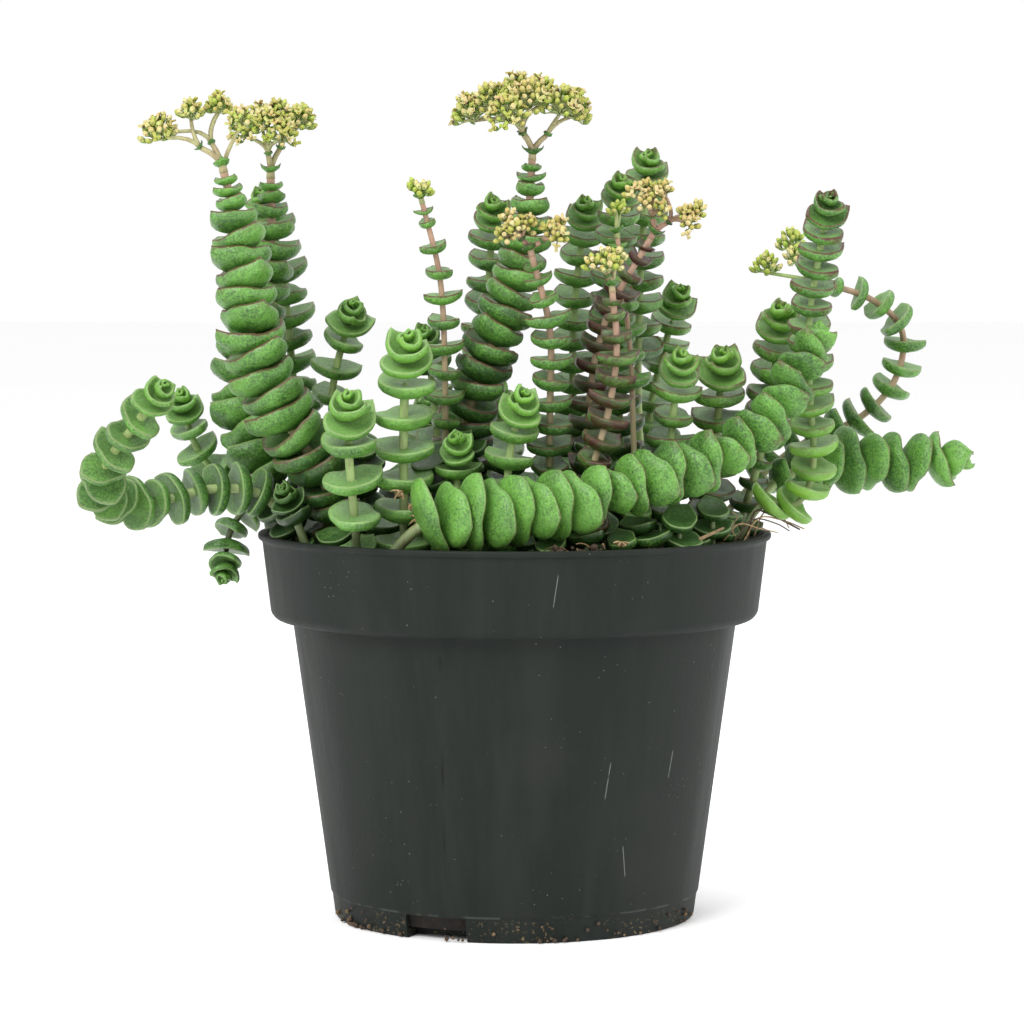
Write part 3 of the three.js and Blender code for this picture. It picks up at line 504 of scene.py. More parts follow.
def crowd(stems):
    """Shortens leaves that would reach another stem, the pot or the soil."""
    for stem in stems:
        for pair in stem["pairs"]:
            at = pair["at"]
            room = pair["size"]
            if math.hypot(at.x, at.y) < RIM_RADIUS:
                room = min(room, SOIL_REACH * (at.z - SOIL_CROWN))
            for other in stems:
                if other is stem:
                    continue
                for rival in other["pairs"]:
                    share = pair["size"] / (pair["size"] + rival["size"])
                    room = min(room, share * (at - rival["at"]).length - 0.5 * CROWDING)
                for sample in other["samples"][::2]:
                    taken = stalk_radius(other, sample["distance"])
                    room = min(room, (at - sample["at"]).length - taken - CROWDING)
            while room > SMALLEST_LEAF and not misses_pot(stem, pair, room):
                room *= SHRINK
            pair["reach"] = room
    for stem in stems:
        stem["pairs"] = [pair for pair in stem["pairs"] if pair["reach"] > SMALLEST_LEAF]


def grown_stems():
    """All stems in metres, with their leaf pairs placed."""
    stems = []
    for order, row in enumerate(STEMS):
        stem = dict(row, order=order)
        stem["foot"] = [value * MM for value in row["foot"]]
        stem["leaf"] = [value * MM for value in row["leaf"]]
        stem["step"] = [value * MM for value in row["step"]]
        stem["bare"] = row["bare"] * MM
        stem["turn"] = math.radians(row["turn"])
        stem["route"] = [Vector(point) * MM for point in row["route"]]
        grow_pairs(stem, order)
        stems.append(stem)
    crowd(stems)
    return stems


def turned_frame(at, along, side, radius):
    """The place of a ring: its middle, its own axes and its radius, as a matrix."""
    across = along.cross(side)
    matrix = Matrix.Identity(4)
    for row in range(3):
        matrix[row][0] = side[row] * radius
        matrix[row][1] = across[row] * radius
        matrix[row][2] = along[row] * radius
        matrix[row][3] = at[row]
    return matrix


def edges_of(verts):
    """The edges that join the vertices given."""
    chosen = set(verts)
    edges = {edge for vert in verts for edge in vert.link_edges}
    return [edge for edge in edges if set(edge.verts) <= chosen]


def face_outwards(bm, faces):
    """Turns the faces of one closed shape outwards, told by the sign of its volume."""
    bmesh.ops.recalc_face_normals(bm, faces=faces)
    origin = faces[0].verts[0].co.copy()
    volume = 0.0
    for face in faces:
        first, *rest = [vert.co - origin for vert in face.verts]
        volume += sum(first.dot(here.cross(after)) for here, after in zip(rest, rest[1:]))
    if volume < 0:
        bmesh.ops.reverse_faces(bm, faces=faces)


def add_tube(bm, rings, sides, slot):
    """Adds a round tube through ring matrices, closed at both ends; gives its vertices."""
    verts = bmesh.ops.create_circle(bm, cap_ends=True, radius=1, segments=sides)["verts"]
    faces = list({face for vert in verts for face in vert.link_faces})
    bmesh.ops.reverse_faces(bm, faces=faces)
    bmesh.ops.transform(bm, matrix=rings[0], verts=verts)
    whole = list(verts)
    for before, here in zip(rings, rings[1:]):
        made = bmesh.ops.extrude_edge_only(bm, edges=edges_of(verts))["geom"]
        verts = [part for part in made if isinstance(part, bmesh.types.BMVert)]
        faces += [part for part in made if isinstance(part, bmesh.types.BMFace)]
        bmesh.ops.transform(bm, matrix=here @ before.inverted(), verts=verts)
        whole += verts
    faces += bmesh.ops.contextual_create(bm, geom=edges_of(verts))["faces"]
    for face in faces:
        face.material_index = slot
    face_outwards(bm, faces)
    return whole


# How a leaf narrows to a blunt and to a pointed tip, and how far out its waist reaches
TIP_START = (3.1, 2.3)
TIP_FALL = (0.5, 0.78)
WAIST_SHARE = 0.45


def half_width(share, wide, waist, acute):
    """Half width of a leaf pair over its reach, at a share of the way from waist to tip."""
    width = wide * max(0.0, 1 - share ** mix(*TIP_START, acute)) ** mix(*TIP_FALL, acute)
    if share < WAIST_SHARE:
        width *= 1 - (1 - waist / wide) * (1 - share / WAIST_SHARE) ** 2
    return width


# Rows of a leaf pair from its top to its underside: how far out, and how deep under the top
PAIR_ROWS = [(0.0, 0.04), (0.74, -0.02), (1.0, 0.05), (0.985, 0.3), (0.84, 0.74), (0.0, 1.02)]
RIM_ROW = 2
RIM_CREASE = 0.85


def bowl(distance, reach, low, high):
    """Distance out, rise and slope at a distance along an arc that steepens from low to high."""
    slope = mix(low, high, distance / reach)
    bend = (high - low) / reach
    out = (math.sin(slope) - math.sin(low)) / bend
    rise = (math.cos(low) - math.cos(slope)) / bend
    return out, rise, slope


def add_pair(bm, layers, settings, place, shape, seed, look):
    """Adds one leaf pair: a ball pressed into two joined fleshy boats."""
    at, along, lengthwise, crosswise = place
    reach, low, high, thick = shape
    curl = min(1.0, max(0.0, (high - 30) / 60))
    wide = mix(SHOULDER_ACROSS + 0.06, 0.84, curl)
    waist = mix(WAIST + 0.15, 0.72, curl) + 0.05 * draw(seed + 0.4)
    longer = 1 + 0.08 * draw(seed * 7 + 1)
    droop = 3 * draw(seed * 3 + 0.2)
    acute = min(1.0, max(4 * curl, 0.8 * look[1], (9 * MM - reach) / (6 * MM), 0.0))
    pointed = 1.03 + 0.12 * acute
    crease = bm.edges.layers.float["crease_edge"]
    steps = len(PAIR_ROWS) - 1
    made = bmesh.ops.create_uvsphere(bm, u_segments=settings.segments, v_segments=steps,
                                     radius=1)["verts"]
    for vert in made:
        latitude = math.degrees(math.asin(max(-1, min(1, vert.co.z))))
        row = round(steps * (0.5 - latitude / 180))
        angle = math.atan2(vert.co.y, vert.co.x)
        out, drop = PAIR_ROWS[row]
        share = abs(math.cos(angle))
        side = 1 if math.cos(angle) > 0 else -1
        at_tip = share > 0.999
        u = out * math.cos(angle) * (1 + (longer - 1) * side) * (pointed if at_tip else 1)
        v = 0.0
        if not at_tip:
            v = out * math.copysign(half_width(share, wide, waist, acute), math.sin(angle))
        distance = math.hypot(u, v)
        turn = math.atan2(v, u)
        steepest = math.radians(high + droop * side)
        away, rise, slope = bowl(distance * reach, reach, math.radians(low), steepest)
        outward = lengthwise * math.cos(turn) + crosswise * math.sin(turn)
        under = along * math.cos(slope) - outward * math.sin(slope)
        vert.co = at + outward * away + along * rise - under * (drop * thick)
        vert[layers["rim"]] = (0.0, 0.0, 1.0, 0.45, 0.0, 0.0)[row]
        vert[layers["belly"]] = min(1.0, max(0.0, (row - RIM_ROW) / 2))
        vert[layers["tip"]] = out * share
        vert[layers["tone"]], vert[layers["blush"]], vert[layers["fresh"]] = look
        if row == RIM_ROW and at_tip:
            vert[bm.verts.layers.float["crease_vert"]] = 0.5 * pointed
    for edge in edges_of([vert for vert in made if vert[layers["rim"]] > 0.9]):
        edge[crease] = RIM_CREASE
    face_outwards(bm, faces_of(made))


LEAF_LAYERS = ("rim", "belly", "tip", "tone", "blush", "fresh")


def new_piece_mesh(layer_names):
    """A new bmesh with its value layers."""
    bm = bmesh.new()
    for name in layer_names:
        bm.verts.layers.float.new(name)
    bm.verts.layers.float.new("crease_vert")
    bm.edges.layers.float.new("crease_edge")
    return bm, {name: bm.verts.layers.float[name] for name in layer_names}


def settle_piece(name, bm, materials, nodes=(), levels=0):
    """Makes the piece's object at the origin, and lets it ride in place of its nodes."""
    mesh = bpy.data.meshes.new(name)
    bm.to_mesh(mesh)
    bm.free()
    if not mesh.polygons:
        raise RuntimeError(f"{name} came out empty")
    mesh.polygons.foreach_set("use_smooth", [True] * len(mesh.polygons))
    for material in materials:
        mesh.materials.append(material)
    piece = bpy.data.objects.new(name, mesh)
    bpy.context.scene.collection.objects.link(piece)
    if levels:
        smooth = piece.modifiers.new("Smooth", "SUBSURF")
        smooth.levels = smooth.render_levels = levels
    if nodes:
        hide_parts(*nodes)
    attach(piece, BODY)
    return piece


def darker(colour, share):
    """A colour with this share of its light."""
    return tuple(share * value for value in colour)


class Shades:
    """Builds one material from plain calls, its patterns in the piece's own space."""

    def __init__(self, name):
        self.material = bpy.data.materials.new(name)
        self.material.use_nodes = True
        self.tree = self.material.node_tree
        self.shader = self.tree.nodes["Principled BSDF"]
        self.place = self.tree.nodes.new("ShaderNodeTexCoord").outputs["Object"]

    def feed(self, socket, value):
        """Gives a socket a value, a colour or a link."""
        if isinstance(value, bpy.types.NodeSocket):
            self.tree.links.new(value, socket)
        elif hasattr(value, "__len__") and len(value) == 3 and socket.type == "RGBA":
            socket.default_value = (*value, 1.0)
        else:
            socket.default_value = value

    def set(self, **values):
        """Sets the shader's own sockets, with _ for a blank in their names."""
        for name, value in values.items():
            self.feed(self.shader.inputs[name.replace("_", " ")], value)

    def attribute(self, name):
        """A value painted on the vertices."""
        node = self.tree.nodes.new("ShaderNodeAttribute")
        node.attribute_name = name
        return node.outputs["Fac"]

    def stretched(self, scale):
        """The place, scaled along each axis."""
        node = self.tree.nodes.new("ShaderNodeMapping")
        node.inputs["Scale"].default_value = scale
        self.feed(node.inputs["Vector"], self.place)
        return node.outputs["Vector"]

    def axes(self):
        """The place as x, y and height."""
        node = self.tree.nodes.new("ShaderNodeSeparateXYZ")
        self.feed(node.inputs["Vector"], self.place)
        return [node.outputs[name] for name in "XYZ"]

    def noise(self, scale, detail=2.0, place=None, roughness=0.5):
        """Soft noise from 0 to 1."""
        node = self.tree.nodes.new("ShaderNodeTexNoise")
        self.feed(node.inputs["Vector"], place or self.place)
        node.inputs["Scale"].default_value = scale
        node.inputs["Detail"].default_value = detail
        node.inputs["Roughness"].default_value = roughness
        return node.outputs["Fac"]

    def cells(self, scale):
        """Distance from the middle of the nearest cell."""
        node = self.tree.nodes.new("ShaderNodeTexVoronoi")
        self.feed(node.inputs["Vector"], self.place)
        node.inputs["Scale"].default_value = scale
        return node.outputs["Distance"]

    def maths(self, operation, first, second=0.0, third=0.0):
        """One sum."""
        node = self.tree.nodes.new("ShaderNodeMath")
        node.operation = operation
        for socket, value in zip(node.inputs, (first, second, third)):
            self.feed(socket, value)
        return node.outputs["Value"]

    def times(self, first, second):
        """One value times another."""
        return self.maths("MULTIPLY", first, second)

    def stir(self, pattern, strength, value):
        """A value made uneven by a pattern whose middle is a half."""
        return self.maths("MULTIPLY_ADD", self.maths("SUBTRACT", pattern, 0.5), strength, value)

    def ease(self, value, low, high, to_low=0.0, to_high=1.0):
        """A value eased from one range to another."""
        node = self.tree.nodes.new("ShaderNodeMapRange")
        node.interpolation_type = "SMOOTHSTEP"
        for name, given in (("Value", value), ("From Min", low), ("From Max", high),
                            ("To Min", to_low), ("To Max", to_high)):
            self.feed(node.inputs[name], given)
        return node.outputs["Result"]

    def blend(self, share, first, second):
        """A share of the way from the first colour to the second."""
        node = self.tree.nodes.new("ShaderNodeMix")
        node.data_type = "RGBA"
        self.feed(node.inputs[0], share)
        self.feed(node.inputs[6], first)
        self.feed(node.inputs[7], second)
        return node.outputs[2]

    def bump(self, height, distance, strength=1.0):
        """Fine relief from a height."""
        node = self.tree.nodes.new("ShaderNodeBump")
        node.inputs["Strength"].default_value = strength
        node.inputs["Distance"].default_value = distance
        self.feed(node.inputs["Height"], height)
        self.feed(self.shader.inputs["Normal"], node.outputs["Normal"])


def leaf_flesh(settings):
    """Fleshy green, waxy bloom, fine dots, brownish red margin and stain, painted shade and
    highlight.
    """
    s = Shades("leaf_flesh")
    rim, belly, tip = s.attribute("rim"), s.attribute("belly"), s.attribute("tip")
    tone, blush, fresh = s.attribute("tone"), s.attribute("blush"), s.attribute("fresh")
    # Green in patches and grain
    patches = s.noise(130, 3)
    grain, fine = s.noise(650, 3, roughness=0.65), s.noise(1900, 2, roughness=0.6)
    shade = s.stir(patches, 2.4, tone)
    shade = s.stir(grain, 1.3, shade)
    shade = s.stir(fine, 3.4, shade)
    colour = s.blend(s.ease(shade, -1.1, 1.1), settings.deep, settings.light)
    young = s.times(s.ease(fresh, 0.0, 1.0), s.ease(patches, 0.2, 0.7, 0.45, 0.95))
    colour = s.blend(young, colour, settings.fresh)
    # Waxy bloom, and a paler upper face
    waxy = s.times(s.ease(belly, 0.0, 0.8, 0.5, 0.24), s.ease(tone, -0.9, 0.4, 0.3, 1.0))
    waxy = s.times(waxy, s.ease(s.noise(210, 3), 0.25, 0.7, 0.4, 1.0))
    colour = s.blend(waxy, colour, settings.bloom)
    face = s.times(s.ease(belly, 0.0, 0.5, 0.55, 0.0), s.ease(tone, -0.7, 0.6, 0.1, 1.0))
    face = s.times(face, s.ease(fine, 0.3, 0.6, 0.35, 1.0))
    colour = s.blend(face, colour, (0.24, 0.42, 0.13))
    # Painted shade in the hollow round the stalk
    painted_hollow_shade = s.times(s.ease(tip, 0.05, 0.55, 0.12, 0.0), s.ease(fresh, 0.0, 0.8, 1.0, 0.4))
    painted_hollow_shade = s.times(painted_hollow_shade, s.ease(belly, 0.0, 0.7, 1.0, 0.2))
    colour = s.blend(painted_hollow_shade, colour, darker(settings.deep, 0.4))
    # Fine dots, dark on green leaves and reddish on stained ones
    dots = s.ease(s.cells(2300), 0.15, 0.36, 1.0, 0.0)
    dotted = s.times(dots, s.ease(s.noise(330, 2), 0.35, 0.6, 0.3, 1.0))
    dark = s.blend(s.ease(blush, 0.1, 0.9, 0.0, 0.8), darker(settings.deep, 0.5), settings.margin)
    colour = s.blend(s.times(dotted, s.ease(rim, 0.0, 0.5, 0.2, 0.5)), colour, dark)
    # Pale edge, partly a paler margin and partly a painted highlight along the rim; stained tips
    # and a reddish line along the margin
    uneven = s.stir(grain, 0.6, rim)
    edge = s.ease(rim, 0.66, 0.95, 0.0, 0.6)
    colour = s.blend(edge, colour, (0.26, 0.42, 0.15))
    spread = s.stir(s.noise(520, 3), 1.6, tip)
    stain = s.times(s.ease(s.maths("MULTIPLY_ADD", rim, 0.3, spread), 0.7, 1.3), blush)
    colour = s.blend(s.ease(stain, 0.1, 1.1, 0.0, 0.8), colour, settings.margin)
    line = s.times(s.ease(uneven, 0.64, 0.86), s.ease(blush, 0.0, 0.5, 0.15, 0.9))
    line = s.times(line, s.ease(fresh, 0.1, 0.8, 1.0, 0.35))
    colour = s.blend(line, colour, settings.margin)
    # Whole leaves stained on the purple stems, and painted shade on the leaves of lowest tone
    purple = s.times(s.ease(blush, 1.0, 1.6, 0.0, 0.95), s.ease(rim, 0.5, 0.9, 1.0, 0.25))
    purple = s.times(purple, s.ease(s.noise(170, 3), 0.4, 0.6, 0.35, 1.0))
    colour = s.blend(purple, colour, darker(settings.margin, 0.55))
    colour = s.blend(s.ease(tone, -1.6, -0.7, 0.7, 0.0), colour, darker(settings.deep, 0.15))
    s.set(Base_Color=colour, Roughness=s.ease(grain, 0.3, 0.7, 0.34, 0.46), Subsurface_Weight=0.2,
          Subsurface_Scale=0.0012, Subsurface_Radius=(0.6, 1.0, 0.25), Specular_IOR_Level=0.4)
    s.bump(s.maths("MULTIPLY_ADD", dots, -0.5, s.maths("ADD", grain, fine)), 0.00018, 0.6)
    return s.material


def stalk_skin(flowers):
    """Pale green stalk, pinkish under a flower head, fine lengthwise marks, painted shade near the
    soil.
    """
    s = Shades("stalk_skin")
    grain = s.noise(700, 3, place=s.stretched((1, 1, 0.3)))
    pale = (0.3, 0.42, 0.15)
    colour = s.blend(s.ease(s.attribute("blush"), 0.0, 1.0, 0.0, 0.9), pale, flowers.pink)
    colour = s.blend(s.ease(grain, 0.45, 0.7, 0.0, 0.4), colour, (0.16, 0.08, 0.05))
    # Painted shade: near black towards the soil, under the low leaves
    low = s.ease(s.axes()[2], 86 * MM, 104 * MM, 0.85, 0.0)
    colour = s.blend(low, colour, (0.02, 0.022, 0.008))
    s.set(Base_Color=colour, Roughness=0.5, Subsurface_Weight=0.15, Subsurface_Scale=0.001)
    s.bump(grain, 0.0001, 0.4)
    return s.material


class PLANT_OT_stems(bpy.types.Operator):
    """Threads the leaf pairs on every stem"""

    bl_idname = "plant.stems"
    bl_label = "Leafy stems"

    def execute(self, context):
        settings, flowers = context.scene.plant_leaves, context.scene.plant_flowers
        materials = [leaf_flesh(settings), stalk_skin(flowers)]
        for stem in grown_stems():
            build_stem(stem, settings, materials)
        return {"FINISHED"}


def look_at_share(stem, share):
    """The tone, blush and freshness at a share of the way along a stem."""
    return [mix(low, high, share) for low, high in zip(*stem["look"])]


def rosebud_pairs(stem, tips):
    """The nested pairs of a rosette, in place of those of its solid."""
    leaf = stem["leaf"][1]
    squeeze = max(0.62, min(tip["reach"] / tip["size"] for tip in tips))
    distance = tips[0]["distance"] - ROSETTE[0][2] * leaf
    end = stem["samples"][-1]
    pairs = []
    for k, (size, step, low, high) in enumerate(ROSEBUD):
        distance += step * leaf * squeeze
        pair = dict(stand(stem["samples"], min(distance, stem["length"])), distance=distance,
                    low=low, high=high, reach=size * leaf * squeeze,
                    turns=tips[0]["turns"] + k, rose=k + 1)
        pair["at"] = pair["at"] + end["along"] * max(0.0, distance - stem["length"])
        pairs.append(pair)
    return pairs


def in_shade(at):
    """How deep a place lies among the low leaves, from 0 to 1."""
    low = min(1.0, max(0.0, (SHADE_HEIGHT - at.z) / SHADE_EASE))
    behind = min(1.0, max(0.0, (at.y - SHADE_FRONT) / SHADE_EASE))
    return low * behind * (1.0 if abs(at.x) < SHADE_SIDE else 0.0)


def bract_pairs(stem, last):
    """One or two thin pairs on the bare stalk under a flower head."""
    free = stem["length"] - last["distance"]
    count = 2 if free > 1.3 * stem["step"][1] else 1
    pairs = []
    for k in range(count):
        distance = last["distance"] + free * (k + 0.85) / (count + 0.6)
        reach = mix(0.62, 0.5, k) * stem["leaf"][1]
        pairs.append(dict(stand(stem["samples"], distance), distance=distance, reach=reach,
                          size=reach, turns=last["turns"] + 1 + k, bract=k))
    return pairs


def build_stem(stem, settings, materials):
    """One stem: its stalk, its leaf pairs and its rosette."""
    bm, layers = new_piece_mesh(LEAF_LAYERS)
    flowering = stem["end"] == "flower"
    foot = Vector((*stem["foot"], NECK - 6 * MM))
    thin = settings.stalk
    rings = [turned_frame(foot, Vector((0, 0, 1)), Vector((1, 0, 0)), thin * stalk_radius(stem, 0))]
    tips = [pair for pair in stem["pairs"] if "rose" in pair]
    for sample in stem["samples"][::3]:
        if tips and sample["distance"] > tips[0]["distance"]:
            break
        radius = thin * stalk_radius(stem, sample["distance"])
        rings.append(turned_frame(sample["at"], sample["along"], sample["side"], radius))
    if flowering:
        tip = stem["samples"][-1]
        end = tip["at"] + tip["along"] * (GAP + KNOT_HEIGHT)
        radius = thin * stalk_radius(stem, stem["length"])
        rings.append(turned_frame(end, tip["along"], tip["side"], radius))
    for vert in add_tube(bm, rings, 8, 1):
        share = max(0, min(1, (vert.co - foot).length / stem["length"]))
        vert[layers["blush"]] = (0.25 + 0.75 * share) if flowering else 0.25 * (1 - share)
    pairs = [pair for pair in stem["pairs"] if "rose" not in pair]
    if tips:
        pairs += rosebud_pairs(stem, tips)
    if flowering:
        pairs += bract_pairs(stem, pairs[-1])
    for pair in pairs:
        seed = stem["order"] * 40 + pair["turns"]
        lengthwise, crosswise = pair_axes(stem, pair)
        twist = Matrix.Rotation(settings.twist * draw(seed + 0.3), 3, pair["along"])
        tilt = Matrix.Rotation(settings.tilt * draw(seed + 0.6), 3, lengthwise)
        light = stem.get("light", settings.light_turn) + (ROSE_LIGHT if "rose" in pair else 0)
        share = min(1.0, pair["distance"] / stem["length"])
        lit = pair["along"] + Vector((0, -light, stem.get("upright", 0) * max(0, 1 - 3 * share)))
        turn = pair["along"].rotation_difference(lit).to_matrix() @ twist @ tilt
        look = look_at_share(stem, share)
        # Tone differs at random, and painted shade lowers it among the low leaves
        look[0] += 0.2 * draw(seed + 0.9) - 0.9 * in_shade(pair["at"])
        fit = mix(*stem.get("fit", (1, 1)), share)
        reach = pair["reach"] * settings.spread * fit
        if "bract" in pair:
            shape = (reach, 8, 40, 0.35 * reach)
        elif "rose" in pair:
            look[0] += 0.1 + 0.08 * pair["rose"]
            look[2] += 0.1 * pair["rose"]
            shape = (reach, pair["low"], pair["high"], ROSE_THICK[1] * reach + ROSE_THICK[0])
        else:
            reach = min(reach * settings.regrow, pair["size"] * settings.spread * fit)
            thick = stem.get("thin", 1) * settings.plump * (THICK[0] + THICK[1] * reach)
            cupped = stem.get("cupped", 0)
            shape = (reach, 2 + 0.2 * cupped, 1.7 * pair["cup"] - 2 + cupped, thick)
        place = (pair["at"], turn @ pair["along"], turn @ lengthwise, turn @ crosswise)
        add_pair(bm, layers, settings, place, shape, seed, look)
    name = stem["name"].replace("stem_", "leaves_")
    settle_piece(name, bm, materials, [stem["name"]], settings.levels)


FLORET_LAYERS = ("blush", "ripe", "tip", "warm")

# Sizes over the length of a floret: radius of its cup and bud, and of an open star, which is
# widest at its petals' tips
FLORET_RADIUS = 0.27
STAR_RADII = (0.52, 0.2)


def petal_skin(settings):
    """Cream buds and petals, greener when young, with warm marks."""
    s = Shades("petal_skin")
    ripe, warm, tip = s.attribute("ripe"), s.attribute("warm"), s.attribute("tip")
    grain = s.noise(1100, 2)
    colour = s.blend(ripe, (0.3, 0.42, 0.05), settings.cream)
    colour = s.blend(s.ease(warm, -0.2, 1, 0.0, 0.75), colour, (0.66, 0.59, 0.32))
    colour = s.blend(s.ease(warm, -1, -0.4, 0.6, 0.0), colour, (0.3, 0.36, 0.05))
    colour = s.blend(s.ease(grain, 0.4, 0.65, 0.0, 0.25), colour, (0.4, 0.28, 0.06))
    tipped = s.times(s.ease(tip, 0.55, 1.0), s.ease(warm, -0.6, 0.8, 0.1, 0.55))
    colour = s.blend(tipped, colour, (0.38, 0.2, 0.07))
    s.set(Base_Color=colour, Roughness=0.55, Subsurface_Weight=0.2, Subsurface_Scale=0.0005)
    s.bump(grain, 0.00008, 0.4)
    return s.material


def sepal_skin(settings):
    """Green sepals with dark tips, brownish where the stalks are pink."""
    s = Shades("sepal_skin")
    tip, warm, blush = s.attribute("tip"), s.attribute("warm"), s.attribute("blush")
    patches = s.ease(s.noise(500, 2), 0.3, 0.7, 0.0, 0.6)
    colour = s.blend(patches, settings.green, (0.24, 0.34, 0.05))
    colour = s.blend(s.ease(blush, 0.2, 0.6, 0.0, 0.35), colour, (0.2, 0.12, 0.05))
    dark = s.times(s.ease(tip, 0.35, 0.9), s.ease(warm, -1, 1, 0.45, 1.0))
    colour = s.blend(dark, colour, (0.06, 0.028, 0.012))
    s.set(Base_Color=colour, Roughness=0.5, Subsurface_Weight=0.1, Subsurface_Scale=0.0005)
    s.bump(s.noise(1200, 2), 0.00006, 0.4)
    return s.material


def paint(verts, layers, **values):
    """Sets values on all the vertices given."""
    for vert in verts:
        for name, value in values.items():
            vert[layers[name]] = value


def faces_of(verts):
    """The faces that touch the vertices given."""
    return list({face for vert in verts for face in vert.link_faces})


def add_calyx(bm, layers):
    """A small cup of five pointed sepals at the foot of a floret one unit high."""
    verts = bmesh.ops.create_cone(bm, cap_ends=True, segments=10, radius1=0.08,
                                  radius2=FLORET_RADIUS, depth=0.34)["verts"]
    bmesh.ops.translate(bm, vec=(0, 0, 0.17), verts=verts)
    for vert in verts:
        turn = round(math.atan2(vert.co.y, vert.co.x) / (2 * math.pi) * 10)
        high = vert.co.z > 0.2
        vert[layers["tip"]] = 1.0 if high and turn % 2 == 0 else 0.0
        if high and turn % 2 == 0:
            vert.co.z += 0.36
    for face in faces_of(verts):
        face.material_index = 1
    return verts


def add_bud(bm, layers):
    """A closed bud standing in its calyx."""
    verts = add_calyx(bm, layers)
    ball = bmesh.ops.create_uvsphere(bm, u_segments=8, v_segments=6, radius=1)["verts"]
    for vert in ball:
        height = vert.co.z
        wide = FLORET_RADIUS * (1 - 0.3 * max(height, 0) ** 2)
        vert.co = Vector((vert.co.x * wide, vert.co.y * wide, 0.58 + 0.42 * height))
        vert[layers["tip"]] = max(height, 0)
    for face in faces_of(ball):
        face.material_index = 2
    return verts + ball


def add_star(bm, layers):
    """An open floret: calyx, five pointed petals and a small heart."""
    verts = add_calyx(bm, layers)
    star = bmesh.ops.create_circle(bm, cap_ends=True, radius=1, segments=10)["verts"]
    made = bmesh.ops.extrude_face_region(bm, geom=faces_of(star))["geom"]
    top = [part for part in made if isinstance(part, bmesh.types.BMVert)]
    for vert in star + top:
        pointed = round(math.atan2(vert.co.y, vert.co.x) / (2 * math.pi) * 10) % 2 == 0
        radius = STAR_RADII[0] if pointed else STAR_RADII[1]
        vert.co.x *= radius
        vert.co.y *= radius
        vert.co.z = 0.9 if pointed else 0.6
        vert[layers["tip"]] = 0.7 if pointed else 0.0
    bmesh.ops.translate(bm, vec=(0, 0, 0.1), verts=top)
    caps = [part for part in made if isinstance(part, bmesh.types.BMFace)]
    middle = bmesh.ops.poke(bm, faces=caps)["verts"]
    for vert in middle:
        vert.co.z = 0.56
    heart = bmesh.ops.create_icosphere(bm, subdivisions=1, radius=0.15)["verts"]
    bmesh.ops.translate(bm, vec=(0, 0, 0.78), verts=heart)
    paint(heart, layers, tip=0.9)
    whole = star + top + middle + heart
    for face in faces_of(whole):
        face.material_index = 2
    bmesh.ops.recalc_face_normals(bm, faces=faces_of(star + top + middle))
    return verts + whole


def add_copy(bm, layers, source, matrix, **values):
    """Copies one floret to its place."""
    made = bmesh.ops.duplicate(bm, geom=source + faces_of(source))["geom"]
    verts = [part for part in made if isinstance(part, bmesh.types.BMVert)]
    bmesh.ops.transform(bm, matrix=matrix, verts=verts)
    paint(verts, layers, **values)


def bow(start, lead, end, count):
    """Points on a bow from start, leaving towards lead, to end."""
    points = []
    for k in range(count + 1):
        share = k / count
        points.append(start.lerp(lead, share).lerp(lead.lerp(end, share), share))
    return points


def tube_rings(points, radii):
    """Ring matrices along a few points, with radii from first to last."""
    rings = []
    last = len(points) - 1
    for k, at in enumerate(points):
        along = (points[min(k + 1, last)] - points[max(k - 1, 0)]).normalized()
        side = along.orthogonal().normalized()
        if rings:
            side = rings[-1].col[0].to_3d()
            side = (side - along * side.dot(along)).normalized()
        rings.append(turned_frame(at, along, side, mix(*radii, k / last)))
    return rings


def crown_forks(head):
    """Where each cluster of a head forks from its arm, its size and the way it faces."""
    forks = []
    right = Vector((1, 0, 0))
    for top, spread, lean, clusters in head["crowns"]:
        spread = spread * MM
        lean = math.radians(lean)
        facing = Vector((0, -math.sin(lean), math.cos(lean)))
        forward = facing.cross(right)
        size = spread * (math.sqrt(CLUSTER_FILL / clusters) if clusters > 1 else 1)
        for k in range(clusters):
            out = (spread - size) * math.sqrt((k + 0.3) / (clusters - 0.7))
            angle = k * GOLDEN_TURN + top[0]
            outward = right * math.cos(angle) + forward * math.sin(angle)
            drop = DOME * spread * (out / spread) ** 2 + CLUSTER_HEIGHT * size
            to = Vector(top) * MM + outward * out - facing * drop
            forks.append((to, size, (facing + outward * (SPLAY * out / spread)).normalized()))
    return forks


def shared_limbs(knot, forks):
    """Groups the forks that lie the same way from the knot, up to three ways."""
    if len(forks) < 4:
        return [[fork] for fork in forks]
    limbs = {}
    for fork in forks:
        away = fork[0] - knot
        way = int((math.atan2(away.y, away.x) + math.pi) / (2.1 * math.pi) * 3)
        limbs.setdefault(way, []).append(fork)
    return list(limbs.values())


